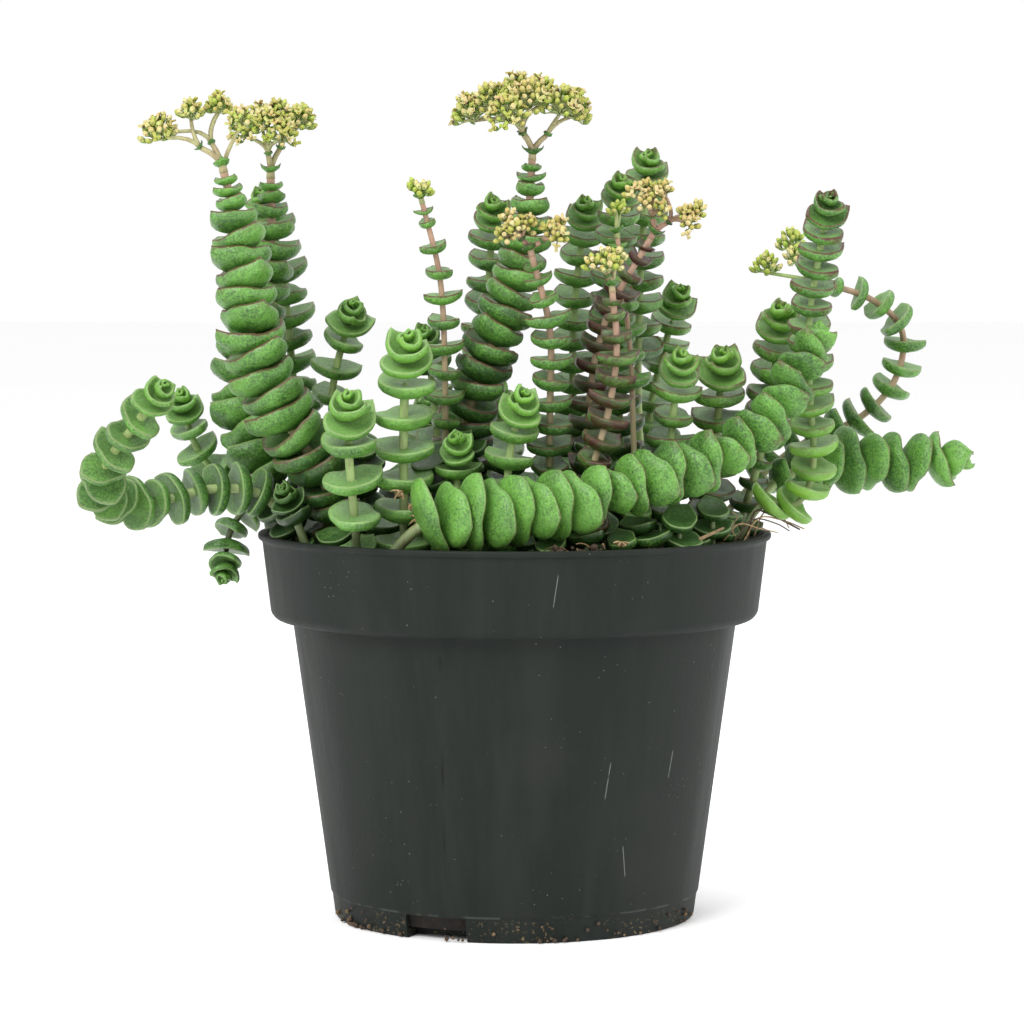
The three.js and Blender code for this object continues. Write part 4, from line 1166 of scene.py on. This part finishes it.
def build_head(head, stem, settings, leaf_settings, materials):
    """One flower head: limbs from the end of its stem, each with domes of florets."""
    bm, layers = new_piece_mesh(sorted(set(FLORET_LAYERS + LEAF_LAYERS)))
    florets = add_bud(bm, layers), add_star(bm, layers)
    tip = stem["samples"][-1]
    start = tip["at"] + tip["along"] * GAP
    knot = start + tip["along"] * KNOT_HEIGHT
    radius = leaf_settings.stalk * stalk_radius(stem, stem["length"])
    blush = mix(1.0, 0.1, head["green"])
    points = [start, knot, knot + tip["along"] * 1.2 * MM]
    paint(add_tube(bm, tube_rings(points, (radius, 0.8 * radius)), 8, 0), layers, blush=blush)
    seed = 1000 * (stem["order"] + 1)
    look = (-0.3, mix(1.0, 0.5, head["green"]), 0.3 * head["green"])
    add_bracts(bm, layers, leaf_settings, knot, tip["along"], 1.5 * radius + 1.6 * MM, seed, look)
    for limb in shared_limbs(knot, crown_forks(head)):
        middle = sum((fork[0] for fork in limb), Vector()) / len(limb)
        split = knot
        if len(limb) > 1:
            split = knot.lerp(middle, 0.42) + tip["along"] * 0.06 * (middle - knot).length
            lead = knot + tip["along"] * 0.4 * (split - knot).length
            rings = tube_rings(bow(knot, lead, split, 4), LIMB_RADII)
            paint(add_tube(bm, rings, 6, 0), layers, blush=blush)
            along = (split - knot).normalized()
            add_bracts(bm, layers, leaf_settings, split, along, 1.5 * MM, seed, look)
        for to, size, facing in limb:
            seed += 100
            away = (middle - knot).normalized().lerp(tip["along"], 0.3)
            lead = split + away * 0.45 * (to - split).length
            rings = tube_rings(bow(split, lead, to, 5), ARM_RADII)
            paint(add_tube(bm, rings, 6, 0), layers, blush=0.85 * blush)
            build_cluster(bm, layers, settings, head, florets, to, facing, size, seed)
    bmesh.ops.delete(bm, geom=florets[0] + florets[1], context="VERTS")
    settle_piece(f"head_{head['name']}", bm, materials, [head["name"]])


def add_bracts(bm, layers, leaf_settings, at, along, reach, seed, look):
    """A small pointed leaf pair where a stalk forks."""
    before = len(bm.faces)
    side = Matrix.Rotation(seed, 3, along) @ along.orthogonal().normalized()
    shape = (reach, 24, 58, 0.4 * MM)
    add_pair(bm, layers, leaf_settings, (at, along, side, along.cross(side)), shape, seed, look)
    bm.faces.ensure_lookup_table()
    for face in bm.faces[before:]:
        face.material_index = 3


def build_cluster(bm, layers, settings, head, florets, fork, facing, size, seed):
    """A dome of florets, each on its own little stalk from the fork."""
    count = max(7, round(settings.density * math.pi * (size / MM) ** 2))
    right = Vector((1, 0, 0))
    right = (right - facing * right.dot(facing)).normalized()
    forward = facing.cross(right)
    blush = mix(0.55, 0.0, head["green"])
    for k in range(count):
        share = math.sqrt((k + 0.4) / count)
        angle = k * GOLDEN_TURN + seed
        away = right * math.cos(angle) + forward * math.sin(angle)
        length = settings.size * (1 + 0.16 * draw(seed + k * 5 + 0.2))
        height = CLUSTER_HEIGHT * size * (1 - 0.8 * share ** 2) - 0.12 * size * (1 + draw(seed + k))
        end = fork + away * (1.1 * size * share) + facing * height
        lean = (facing + 1.2 * share * away).normalized()
        base = end - lean * 0.8 * length
        points = bow(fork, fork.lerp(base, 0.5) + facing * 0.12 * size, base, 3)
        paint(add_tube(bm, tube_rings(points, FLORET_STALK_RADII), 4, 0), layers, blush=blush)
        opened = 0.5 + 0.5 * draw(seed + k * 3 + 0.5) < head["open"]
        turn = Matrix.Rotation(seed + k, 3, lean)
        place = turned_frame(base, lean, turn @ lean.orthogonal().normalized(), length)
        ripe = max(0.0, min(1.0, 1 - head["green"] - 0.4 * share ** 2 + 0.5 * draw(seed + k * 7)))
        floret = florets[1] if opened else florets[0]
        add_copy(bm, layers, floret, place, ripe=ripe, warm=draw(seed + k * 11), blush=blush)


class PLANT_OT_flowers(bpy.types.Operator):
    """Sets a flower head on every flowering stem"""

    bl_idname = "plant.flowers"
    bl_label = "Flower heads"

    def execute(self, context):
        settings, leaves = context.scene.plant_flowers, context.scene.plant_leaves
        stems = {stem["name"]: stem for stem in grown_stems()}
        materials = [bpy.data.materials["stalk_skin"], sepal_skin(settings), petal_skin(settings),
                     bpy.data.materials["leaf_flesh"]]
        for head in HEADS:
            build_head(head, stems[head["stem"]], settings, leaves, materials)
        return {"FINISHED"}


# Upright marks on the front of the pot, each from foot to top as (x, height) in millimetres:
# a dark flow line of the moulding, and the scratches
FLOW_LINE = ((-15.6, 11), (-16.6, 66))
SCRATCHES = [((8.4, 77), (9.6, 85)), ((20.2, 32.5), (21.6, 41.5)),
             ((34.8, 36), (36, 43)), ((25, 14), (24.4, 22))]


def upright_mark(s, foot, top, wide):
    """Share of a thin mark on the front of the pot, from its foot to its top as (x, height)."""
    across, back, up = s.axes()
    lean = (top[0] - foot[0]) / (top[1] - foot[1])
    middle = s.maths("MULTIPLY_ADD", up, lean, (foot[0] - lean * foot[1]) * MM)
    beside = s.maths("ABSOLUTE", s.maths("SUBTRACT", across, middle))
    near = s.ease(beside, 0.3 * wide, wide, 1.0, 0.0)
    above_foot = s.ease(up, foot[1] * MM, (foot[1] + 1) * MM)
    below_top = s.ease(up, (top[1] - 1) * MM, top[1] * MM, 1.0, 0.0)
    in_front = s.ease(back, -20 * MM, -10 * MM, 1.0, 0.0)
    return s.times(s.times(near, s.times(above_foot, below_top)), in_front)


def pot_plastic(settings):
    """Dull charcoal plastic with upright streaks, dust, scratches, and dirt round its foot."""
    s = Shades("pot_plastic")
    streaks = s.noise(75, 6, place=s.stretched((1, 1, 0.045)), roughness=0.7)
    dust = s.noise(38, 4)
    specks = s.times(s.ease(s.cells(560), 0.03, 0.1, 1.0, 0.0), s.ease(s.noise(90, 2), 0.5, 0.62))
    streaked = s.ease(streaks, 0.38, 0.66, 0.0, 0.8)
    colour = s.blend(streaked, settings.charcoal, (0.0165, 0.0195, 0.017))
    colour = s.blend(s.ease(dust, 0.5, 0.8, 0.0, 0.3), colour, (0.024, 0.0245, 0.022))
    colour = s.blend(s.times(specks, 0.35), colour, (0.4, 0.4, 0.36))
    flow = upright_mark(s, *FLOW_LINE, 0.5 * MM)
    flow = s.times(flow, s.ease(s.noise(60, 2), 0.45, 0.6, 0.0, 0.6))
    colour = s.blend(flow, colour, (0.003, 0.0035, 0.003))
    worn = s.ease(s.noise(500, 2), 0.3, 0.5, 0.25, 1.0)
    for foot, top in SCRATCHES:
        scratch = s.times(upright_mark(s, foot, top, 0.13 * MM), worn)
        colour = s.blend(s.times(scratch, 0.4), colour, (0.3, 0.32, 0.3))
    up = s.axes()[2]
    dirt = s.times(s.ease(up, 0.0, 7.5 * MM, 1.0, 0.0), s.ease(s.noise(1300, 4), 0.58, 0.68))
    dirt = s.times(dirt, s.ease(s.noise(90, 2), 0.42, 0.56))
    colour = s.blend(s.times(dirt, 0.8), colour, (0.2, 0.14, 0.07))
    beside_step = s.maths("ABSOLUTE", s.maths("SUBTRACT", up, 5.9 * MM))
    ring = s.times(s.ease(beside_step, 0.1 * MM, 0.4 * MM, 1, 0),
                   s.ease(s.noise(200, 3), 0.45, 0.6, 0.0, 0.5))
    colour = s.blend(ring, colour, (0.07, 0.08, 0.07))
    rough = s.ease(streaks, 0.3, 0.7, 0.5, 0.66)
    s.set(Base_Color=colour, Roughness=rough, IOR=1.3, Specular_IOR_Level=0.3)
    s.bump(s.maths("MULTIPLY_ADD", streaks, 0.8, s.noise(900, 2)), 0.00015, 0.35)
    return s.material


def potting_soil(settings):
    """Dark crumbly peat with lighter fibres, and painted shade near the pot's floor."""
    s = Shades("potting_soil")
    crumb = s.noise(420, 4, roughness=0.7)
    colour = s.blend(s.ease(crumb, 0.35, 0.7), settings.peat, (0.075, 0.048, 0.03))
    colour = s.blend(s.ease(s.cells(260), 0.08, 0.2, 0.35, 0.0), colour, (0.2, 0.14, 0.08))
    # Painted shade: near black towards the pot's floor
    colour = s.blend(s.ease(s.axes()[2], 0.0, 30 * MM, 0.9, 0.0), colour, (0.004, 0.003, 0.002))
    s.set(Base_Color=colour, Roughness=0.95)
    s.bump(crumb, 0.0006, 0.8)
    return s.material


def add_crumb(bm, radius, at, uneven):
    """Adds a crumb at the origin, as uneven as told, its form drawn from its later place."""
    made = bmesh.ops.create_icosphere(bm, subdivisions=1, radius=radius)["verts"]
    for vert in made:
        vert.co *= 1 + uneven * noise.noise(vert.co * 900 + at * 5000)
    return made


def turn_outline(bm, outline, steps):
    """Spins an outline of (radius, height) points into a closed shell."""
    verts = [bm.verts.new((radius, 0, height)) for radius, height in outline]
    edges = [bm.edges.new(pair) for pair in zip(verts, verts[1:])]
    bmesh.ops.spin(bm, geom=verts + edges, cent=(0, 0, 0), axis=(0, 0, 1), angle=2 * math.pi,
                   steps=steps, use_merge=True)
    bmesh.ops.remove_doubles(bm, verts=bm.verts, dist=0.01 * MM)
    bmesh.ops.recalc_face_normals(bm, faces=bm.faces)


def rounded(outline, radius, count=3):
    """An outline with each inner corner eased by a short arc."""
    points = [Vector(outline[0])]
    for before, corner, after in zip(outline, outline[1:], outline[2:]):
        before, corner, after = Vector(before), Vector(corner), Vector(after)
        reach = min(radius, 0.4 * (before - corner).length, 0.4 * (after - corner).length)
        start = corner + (before - corner).normalized() * reach
        end = corner + (after - corner).normalized() * reach
        for k in range(count + 1):
            share = k / count
            points.append(start.lerp(corner, share).lerp(corner.lerp(end, share), share))
    return points + [Vector(outline[-1])]


def pot_outline():
    """Half outline of the pot, with the faint step round its foot."""
    wall = POT_WALL
    lip_foot = POT_HEIGHT - LIP_HEIGHT
    step = 0.35 * MM
    foot_step = 5.5 * MM
    slope = (SHOULDER_RADIUS - BASE_RADIUS) / COLLAR_FOOT
    return [
        (0, 0.6 * MM), (BASE_RADIUS - 5 * MM, 0.6 * MM), (BASE_RADIUS - 4 * MM, 0),
        (BASE_RADIUS - step, 0), (BASE_RADIUS - step + slope * foot_step, foot_step),
        (BASE_RADIUS + slope * foot_step, foot_step + 0.5 * MM),
        (SHOULDER_RADIUS, COLLAR_FOOT), (COLLAR_LOW_RADIUS - 1.2 * MM, COLLAR_FOOT),
        (COLLAR_LOW_RADIUS, COLLAR_FOOT + 1.4 * MM), (COLLAR_TOP_RADIUS, lip_foot - 0.6 * MM),
        (RIM_RADIUS, lip_foot), (RIM_RADIUS, POT_HEIGHT), (COLLAR_TOP_RADIUS - wall, POT_HEIGHT),
        (COLLAR_LOW_RADIUS - wall, COLLAR_FOOT + 1.6 * MM),
        (SHOULDER_RADIUS - wall, COLLAR_FOOT - 0.4 * MM),
        (BASE_RADIUS - wall, 2 * MM), (0, 2 * MM),
    ]


def cut_notches(piece, settings):
    """Cuts the drain notches out of the foot of the pot."""
    bm = bmesh.new()
    for k in range(DRAIN_COUNT):
        turn = Matrix.Rotation(DRAIN_FIRST + k * 2 * math.pi / DRAIN_COUNT, 4, "Z")
        size = Matrix.Diagonal((12 * MM, settings.drain_width, 2 * settings.drain_height, 1))
        place = turn @ Matrix.Translation((BASE_RADIUS, 0, 0)) @ size
        bmesh.ops.create_cube(bm, size=1, matrix=place)
    mesh = bpy.data.meshes.new("notch_tool")
    bm.to_mesh(mesh)
    bm.free()
    tool = bpy.data.objects.new("notch_tool", mesh)
    bpy.context.scene.collection.objects.link(tool)
    cut = piece.modifiers.new("Notches", "BOOLEAN")
    cut.operation = "DIFFERENCE"
    cut.solver = "EXACT"
    cut.object = tool
    bpy.context.view_layer.update()
    evaluated = piece.evaluated_get(bpy.context.evaluated_depsgraph_get())
    cut_mesh = bpy.data.meshes.new_from_object(evaluated)
    piece.modifiers.clear()
    piece.data = cut_mesh
    bpy.data.objects.remove(tool)
    if len(cut_mesh.polygons) < settings.steps:
        raise RuntimeError("the pot was lost when its notches were cut")


class PLANT_OT_pot(bpy.types.Operator):
    """Turns the nursery pot and cuts its drain notches"""

    bl_idname = "plant.pot"
    bl_label = "Pot"

    def execute(self, context):
        settings = context.scene.plant_pot
        bm = bmesh.new()
        turn_outline(bm, rounded(pot_outline(), 0.8 * MM), settings.steps)
        piece = settle_piece("pot_shell", bm, [pot_plastic(settings)], ["pot"])
        cut_notches(piece, settings)
        for polygon in piece.data.polygons:
            polygon.use_smooth = True
        piece.data.set_sharp_from_angle(angle=math.radians(40))
        return {"FINISHED"}


class PLANT_OT_soil(bpy.types.Operator):
    """Fills the pot with soil and scatters crumbs on it"""

    bl_idname = "plant.soil"
    bl_label = "Soil"

    def execute(self, context):
        settings = context.scene.plant_pot
        bm = bmesh.new()
        inner = COLLAR_LOW_RADIUS - POT_WALL - 0.6 * MM
        foot = BASE_RADIUS - POT_WALL - 2 * GAP
        outline = [(0, 2.4 * MM), (foot, 2.4 * MM),
                   (SHOULDER_RADIUS - POT_WALL - 2 * GAP, COLLAR_FOOT - 1 * MM),
                   (inner - 0.6 * MM, COLLAR_FOOT + 4 * MM)]
        rows = 16
        for k in range(rows + 1):
            radius = inner * (1 - k / rows)
            outline.append((radius, mix(SOIL_CROWN, SOIL_RIM, (radius / inner) ** 2) - 0.8 * MM))
        turn_outline(bm, outline, 96)
        for vert in bm.verts:
            if vert.co.z > SOIL_RIM - 3 * MM and math.hypot(vert.co.x, vert.co.y) < inner - 1 * MM:
                coarse, fine = noise.noise(vert.co * 260), noise.noise(vert.co * 700)
                vert.co.z += 0.9 * MM * coarse + 0.5 * MM * fine
        for k in range(settings.crumbs):
            radius = (inner - 2.5 * MM) * math.sqrt((k + 0.5) / settings.crumbs)
            angle = k * GOLDEN_TURN + 0.4 * draw(k)
            height = mix(SOIL_CROWN, SOIL_RIM, (radius / inner) ** 2) - 0.7 * MM
            size = (0.7 + 0.5 * abs(draw(k + 0.7)) ** 2) * MM
            at = Vector((radius * math.cos(angle), radius * math.sin(angle), height))
            made = add_crumb(bm, size, at, 0.3)
            squash = Matrix.Diagonal((1 + 0.4 * draw(k + 0.1), 1 + 0.4 * draw(k + 0.2), 0.7, 1))
            turn = Matrix.Rotation(3 * draw(k + 0.5), 4, "Z")
            bmesh.ops.transform(bm, matrix=Matrix.Translation(at) @ turn @ squash, verts=made)
        settle_piece("soil_fill", bm, [potting_soil(settings)], ["soil"])
        return {"FINISHED"}


# Low leaf pairs on the soil: place of the pair, its reach and turn
LOW_LEAVES = [
    ((37, -36, 95.5), 5.2, 20), ((45, -27, 97), 4.8, 60), ((48, -20, 95.5), 4.4, 100),
    ((31, -39, 91.5), 4.8, 140), ((42, -27, 91), 5, 10), ((24, -42, 91), 4.6, 50),
    ((16, -41, 92), 4.8, 95), ((8, -45, 90.5), 4.4, 15), ((28, -34, 94), 5.2, 70),
    ((20, -28, 93), 5, 30), ((5, -22, 92), 5.2, 120), ((34, -30, 90), 5.2, 80),
    ((45, -15, 92), 4.8, 35), ((-9, -45, 90), 4.6, 60), ((-30, -24, 93), 5.4, 15),
    ((-41, -28, 91), 4.4, 110), ((12, -12, 91), 5.4, 40), ((36, -12, 93), 5.2, 5),
    ((-2, -30, 89.5), 5, 75), ((1, -36, 91), 5, 55), ((4, 31, 91), 4.8, 25),
    ((-13, 28, 92), 5, 70), ((24, 33, 90.5), 4.8, 110), ((-30, 25, 91.5), 5, 45),
    ((40, 30, 91), 4.6, 15), ((2, 6, 93), 5.2, 60), ((36, 8, 93), 5, 100),
    ((-27, -10, 93), 5, 30), ((-9, 44, 90), 4, 80), ((7, 45, 89.5), 4, 20),
    ((-31, 37, 90), 4, 50),
]

# Roots and fibres: their points, and the radius at both ends
ROOTS = [
    ([(53, -22, 89), (55.2, -16, 95.6), (59, -12, 94.8), (66.2, -8, 91)], (0.3, 0.2)),
    ([(52, -24, 89), (56, -18, 94.4), (62, -12, 93.4), (67, -12, 91.4)], (0.22, 0.15)),
    ([(50, -27, 90), (54.5, -20, 94.2), (60, -15, 93), (63.5, -12.6, 91)], (0.2, 0.14)),
    ([(55, -17, 90), (57.5, -13, 95.2), (62, -9, 94), (64, -4, 91)], (0.18, 0.13)),
    ([(49, -32, 96.8), (50.4, -31, 95.6), (49, -33, 93.4), (49.8, -34.2, 91.4)], (0.16, 0.13)),
    ([(41.2, -46.4, 91.8), (44, -43.5, 92.8), (46.8, -40, 93.8)], (0.4, 0.28)),
    ([(47.5, -28, 90), (51, -26, 93.6), (56, -21, 92.2), (60.4, -17.4, 91)], (0.2, 0.14)),
]
# Heaps of fibres and crumbs: middle, spread and count
HEAPS = [
    ((14, -52, 88.8), (8, 2.4, 1.8), 40), ((45, -34, 86.5), (9, 7, 2.2), 46),
    ((25, -46, 86.5), (12, 4, 2), 40), ((51, -15, 89.4), (3.4, 5, 1.6), 24),
    ((-22, -46, 86.8), (10, 4, 1.8), 24),
]
# Dried leaf bits: middle, size and turn
DRIED = [
    ((-25.7, -40, 101), 2.2, 20), ((-21.6, -43, 95.6), 2, 75), ((-23, -41, 98.2), 1.8, 130),
    ((23.6, -51, 90.6), 1.8, 40),
]

# Shoots that fill gaps: how many places are tried and within what radius, the height under
# which they keep away from stems, their least room and distance, and longest leaf in mm
SHOOT_TRIES = 150
SHOOT_AREA = 45 * MM
SHOOT_BELOW = 112 * MM
SHOOT_ROOM = 3.4 * MM
SHOOT_APART = 7.5 * MM
SHOOT_LEAF = 5.4
SHOOT_RADII = (0.8 * MM, 0.8 * MM)

# Low leaf pairs: how far one stands below the next, and the foot and height that set how
# many there are
LEVEL_DROP = 4.2 * MM
LEVEL_FOOT = 86 * MM
LEVEL_HEIGHT = 4.4 * MM

# How far out the heaps reach, the radii of fibres and straws, and the crumbs at the pot's foot
HEAP_REACH = 51.5 * MM
FIBRE_RADII = (0.22 * MM, 0.12 * MM)
STRAW_RADII = (0.5 * MM, 0.16 * MM)
FOOT_CRUMBS = 60


def gap_fillers(stems):
    """Leafy shoots, dark with painted shade, in the gaps between the stems: top, reach and turn."""
    shoots = []
    samples = [sample["at"] for stem in stems for sample in stem["samples"]
               if sample["at"].z < SHOOT_BELOW]
    for k in range(SHOOT_TRIES):
        radius = SHOOT_AREA * math.sqrt((k + 0.5) / SHOOT_TRIES)
        spot = Vector((radius * math.cos(k * GOLDEN_TURN), radius * math.sin(k * GOLDEN_TURN)))
        room = min((at.xy - spot).length for at in samples) - 2 * SHOOT_RADII[0]
        apart = min([(Vector(at[:2]) * MM - spot).length for at, _, _ in shoots + LOW_LEAVES])
        if room < SHOOT_ROOM or apart < SHOOT_APART:
            continue
        top = 93 if spot.y < -30 * MM else 107 + 6 * draw(k)
        reach = min(SHOOT_LEAF, room / MM)
        shoots.append(((spot.x / MM, spot.y / MM, top), reach, 40 * draw(k + 0.5)))
    return shoots


def add_shoot(bm, layers, settings, shoot, order):
    """A short stalk with leaf pairs, one below the other, dark with painted shade."""
    top, reach, turn = shoot
    at = Vector(top) * MM
    foot = Vector((at.x, at.y, SOIL_RIM))
    add_tube(bm, tube_rings([foot, foot.lerp(at, 0.5), at], SHOOT_RADII), 6, 1)
    thick = settings.plump * (THICK[0] + THICK[1] * reach * MM)
    # Painted shade: a low tone, lower at the front than at the back
    look = (-0.95 if at.y < 0 else -0.6, 0.05, 0.0)
    for level in range(max(2, int((at.z - LEVEL_FOOT) / LEVEL_HEIGHT))):
        lean = 0.3 * draw(order + 0.1), -0.35 + 0.3 * draw(order + 0.2)
        along = Vector((*lean, 1)).normalized()
        spin = Matrix.Rotation(math.radians(turn + 90 * level), 3, along)
        side = spin @ along.orthogonal().normalized()
        place = (at - Vector((0, 0, LEVEL_DROP * level)), along, side, along.cross(side))
        seed = 5000 + order * 9 + level
        add_pair(bm, layers, settings, place, (reach * MM, 3, 26, thick), seed, look)


def add_roots(bm, layers):
    """Dry roots and the twig, each along its own route."""
    for k, (points, radii) in enumerate(ROOTS):
        points = [Vector(point) * MM for point in points]
        samples = [sample["at"] for sample in walk(points)[::3]]
        rings = tube_rings(samples, (radii[0] * MM, radii[1] * MM))
        paint(add_tube(bm, rings, 6, 0), layers, warm=draw(k))


def add_heaps(bm, layers):
    """Crumbs and short fibres by turns in every heap, kept inside the pot's wall."""
    for order, (middle, spread, count) in enumerate(HEAPS):
        for k in range(count):
            seed = 900 + 100 * order + k
            at = Vector([(middle[i] + spread[i] * draw(seed + 0.1 * i)) * MM for i in range(3)])
            at.xy *= min(1.0, HEAP_REACH / at.xy.length)
            if k % 2:
                made = add_crumb(bm, (0.8 + 0.5 * draw(seed + 0.7)) * MM, at, 0.35)
                bmesh.ops.translate(bm, vec=at, verts=made)
                paint(made, layers, warm=-1.5)
            else:
                away = Vector((draw(seed + 0.4), draw(seed + 0.5), 0.3 * draw(seed + 0.6))) * 3 * MM
                arch = bow(at - away, at + Vector((0, 0, 1.4 * MM)), at + away, 5)
                made = add_tube(bm, tube_rings(arch, FIBRE_RADII), 4, 0)
                paint(made, layers, warm=draw(seed))


def add_dried_bits(bm, layers):
    """Curled straws of dried leaf."""
    for k, (at, size, turn) in enumerate(DRIED):
        middle = Vector(at) * MM
        for straw in range(5):
            seed = 1700 + 10 * k + straw
            aim = turn + straw
            away = Vector((math.cos(aim), math.sin(aim), 0.5 * draw(seed))) * size * MM
            lift = Vector((0.3 * draw(seed + 0.1), 0.3 * draw(seed + 0.2), 0.8)) * size * MM
            points = bow(middle - 0.3 * away, middle + lift, middle + away, 5)
            made = add_tube(bm, tube_rings(points, STRAW_RADII), 5, 0)
            paint(made, layers, warm=0.9 + 0.4 * draw(seed))


def add_foot_crumbs(bm, layers):
    """Crumbs that cling to the foot of the pot, a third of them beside the front notch."""
    for k in range(FOOT_CRUMBS):
        angle = math.radians(-90 + 75 * draw(k + 0.3))
        if k % 3 == 0:
            angle = DRAIN_FIRST - math.radians(34 + 5 * draw(k))
        height = (0.35 + 4.5 * abs(draw(k + 0.8)) ** 3) * MM
        radius = BASE_RADIUS + 0.14 * height + 0.15 * MM
        at = Vector((radius * math.cos(angle), radius * math.sin(angle), height + 0.3 * MM))
        made = add_crumb(bm, (0.3 + 0.35 * draw(k + 0.6) ** 2) * MM, at, 0.0)
        bmesh.ops.translate(bm, vec=at, verts=made)
        paint(made, layers, warm=-0.8 + 0.6 * draw(k))


def litter_skin():
    """Dry roots, crumbs and leaf bits, from dark peat to straw."""
    s = Shades("litter_skin")
    warm = s.attribute("warm")
    grain = s.noise(800, 3, roughness=0.6)
    colour = s.blend(s.ease(warm, -1.0, 0.6), (0.045, 0.026, 0.014), (0.3, 0.2, 0.09))
    colour = s.blend(s.ease(warm, 1.0, 1.5), colour, (0.5, 0.4, 0.2))
    colour = s.blend(s.ease(grain, 0.4, 0.65, 0.0, 0.6), colour, (0.05, 0.03, 0.016))
    s.set(Base_Color=colour, Roughness=0.85)
    s.bump(grain, 0.0003, 0.6)
    return s.material


def build_litter():
    """The loose bits, as one piece."""
    bm, layers = new_piece_mesh(("warm",))
    for add in (add_roots, add_heaps, add_dried_bits, add_foot_crumbs):
        add(bm, layers)
    settle_piece("litter", bm, [litter_skin()])


class PLANT_OT_litter(bpy.types.Operator):
    """Adds the low leaves, roots and dried bits between the stems"""

    bl_idname = "plant.litter"
    bl_label = "Low leaves and litter"

    def execute(self, context):
        settings = context.scene.plant_leaves
        flesh, skin = bpy.data.materials["leaf_flesh"], bpy.data.materials["stalk_skin"]
        bm, layers = new_piece_mesh(LEAF_LAYERS)
        for k, shoot in enumerate(LOW_LEAVES + gap_fillers(grown_stems())):
            add_shoot(bm, layers, settings, shoot, k)
        settle_piece("low_leaves", bm, [flesh, skin], (), settings.levels)
        build_litter()
        return {"FINISHED"}


class PLANT_OT_stage(bpy.types.Operator):
    """Sets the pale floor, the soft light and the camera"""

    bl_idname = "plant.stage"
    bl_label = "Stage"

    def execute(self, context):
        settings = context.scene.plant_stage
        build_floor(settings)
        add_light("key", settings.key, 0.7, (-0.55, -0.85, 0.95))
        add_light("fill", settings.fill, 0.8, (0.95, -0.35, 0.45))
        add_light("top", settings.fill, 0.9, (0.1, 0.35, 1.2))
        world = bpy.data.worlds.new("studio")
        world.use_nodes = True
        sky = world.node_tree.nodes["Background"]
        sky.inputs["Color"].default_value = (1, 1, 1, 1)
        sky.inputs["Strength"].default_value = settings.sky
        context.scene.world = world
        context.scene.view_settings.view_transform = "Standard"
        lens = bpy.data.cameras.new("camera")
        lens.lens = CAMERA_LENS
        lens.sensor_width = 36
        camera = bpy.data.objects.new("camera", lens)
        camera.location = CAMERA_PLACE
        camera.rotation_euler = (math.pi / 2 - CAMERA_PITCH, 0, 0)
        context.scene.collection.objects.link(camera)
        context.scene.camera = camera
        return {"FINISHED"}


def build_floor(settings):
    """A plain pale floor, wide enough for every view."""
    bm = bmesh.new()
    bmesh.ops.create_grid(bm, x_segments=1, y_segments=1, size=6)
    mesh = bpy.data.meshes.new("floor")
    bm.to_mesh(mesh)
    bm.free()
    s = Shades("floor_paint")
    shade = s.ease(s.noise(3, 2), 0.3, 0.7, 0.0, 0.2)
    s.set(Base_Color=s.blend(shade, settings.floor, (0.93, 0.93, 0.93)), Roughness=0.9)
    mesh.materials.append(s.material)
    floor = bpy.data.objects.new("floor", mesh)
    bpy.context.scene.collection.objects.link(floor)


def add_light(name, power, size, place):
    """A square soft light aimed at the middle of the plant."""
    lamp = bpy.data.lights.new(name, "AREA")
    lamp.energy = power
    lamp.size = size
    light = bpy.data.objects.new(name, lamp)
    light.location = place
    aim = Vector((0, 0, 0.11)) - Vector(place)
    light.rotation_euler = aim.to_track_quat("-Z", "Y").to_euler()
    bpy.context.scene.collection.objects.link(light)


class PLANT_PT_panel(bpy.types.Panel):
    """Lists the pieces of the plant"""

    bl_idname = "PLANT_PT_panel"
    bl_label = "Potted jade necklace"
    bl_space_type = "VIEW_3D"
    bl_region_type = "UI"
    bl_category = "Plant"

    def draw(self, context):
        layout = self.layout
        for settings in (context.scene.plant_leaves, context.scene.plant_flowers,
                         context.scene.plant_pot, context.scene.plant_stage):
            for name in settings.__annotations__:
                layout.prop(settings, name)
        for operator in OPERATORS:
            layout.operator(operator.bl_idname)


SETTINGS = {"plant_leaves": LeafSettings, "plant_flowers": FlowerSettings, "plant_pot": PotSettings,
            "plant_stage": StageSettings}
OPERATORS = (PLANT_OT_pot, PLANT_OT_soil, PLANT_OT_stems, PLANT_OT_flowers, PLANT_OT_litter,
             PLANT_OT_stage)


def register():
    """Makes the settings, operators and panel known."""
    for name, group in SETTINGS.items():
        bpy.utils.register_class(group)
        setattr(bpy.types.Scene, name, PointerProperty(type=group))
    for piece in (*OPERATORS, PLANT_PT_panel):
        bpy.utils.register_class(piece)


def unregister():
    """Takes them away again."""
    for piece in (PLANT_PT_panel, *reversed(OPERATORS)):
        bpy.utils.unregister_class(piece)
    for name, group in SETTINGS.items():
        delattr(bpy.types.Scene, name)
        bpy.utils.unregister_class(group)


def main():
    """Builds the pieces in order."""
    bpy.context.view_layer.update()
    register()
    bpy.ops.plant.pot()
    bpy.ops.plant.soil()
    bpy.ops.plant.stems()
    bpy.ops.plant.flowers()
    bpy.ops.plant.litter()
    bpy.ops.plant.stage()


if __name__ == "__main__":
    main()
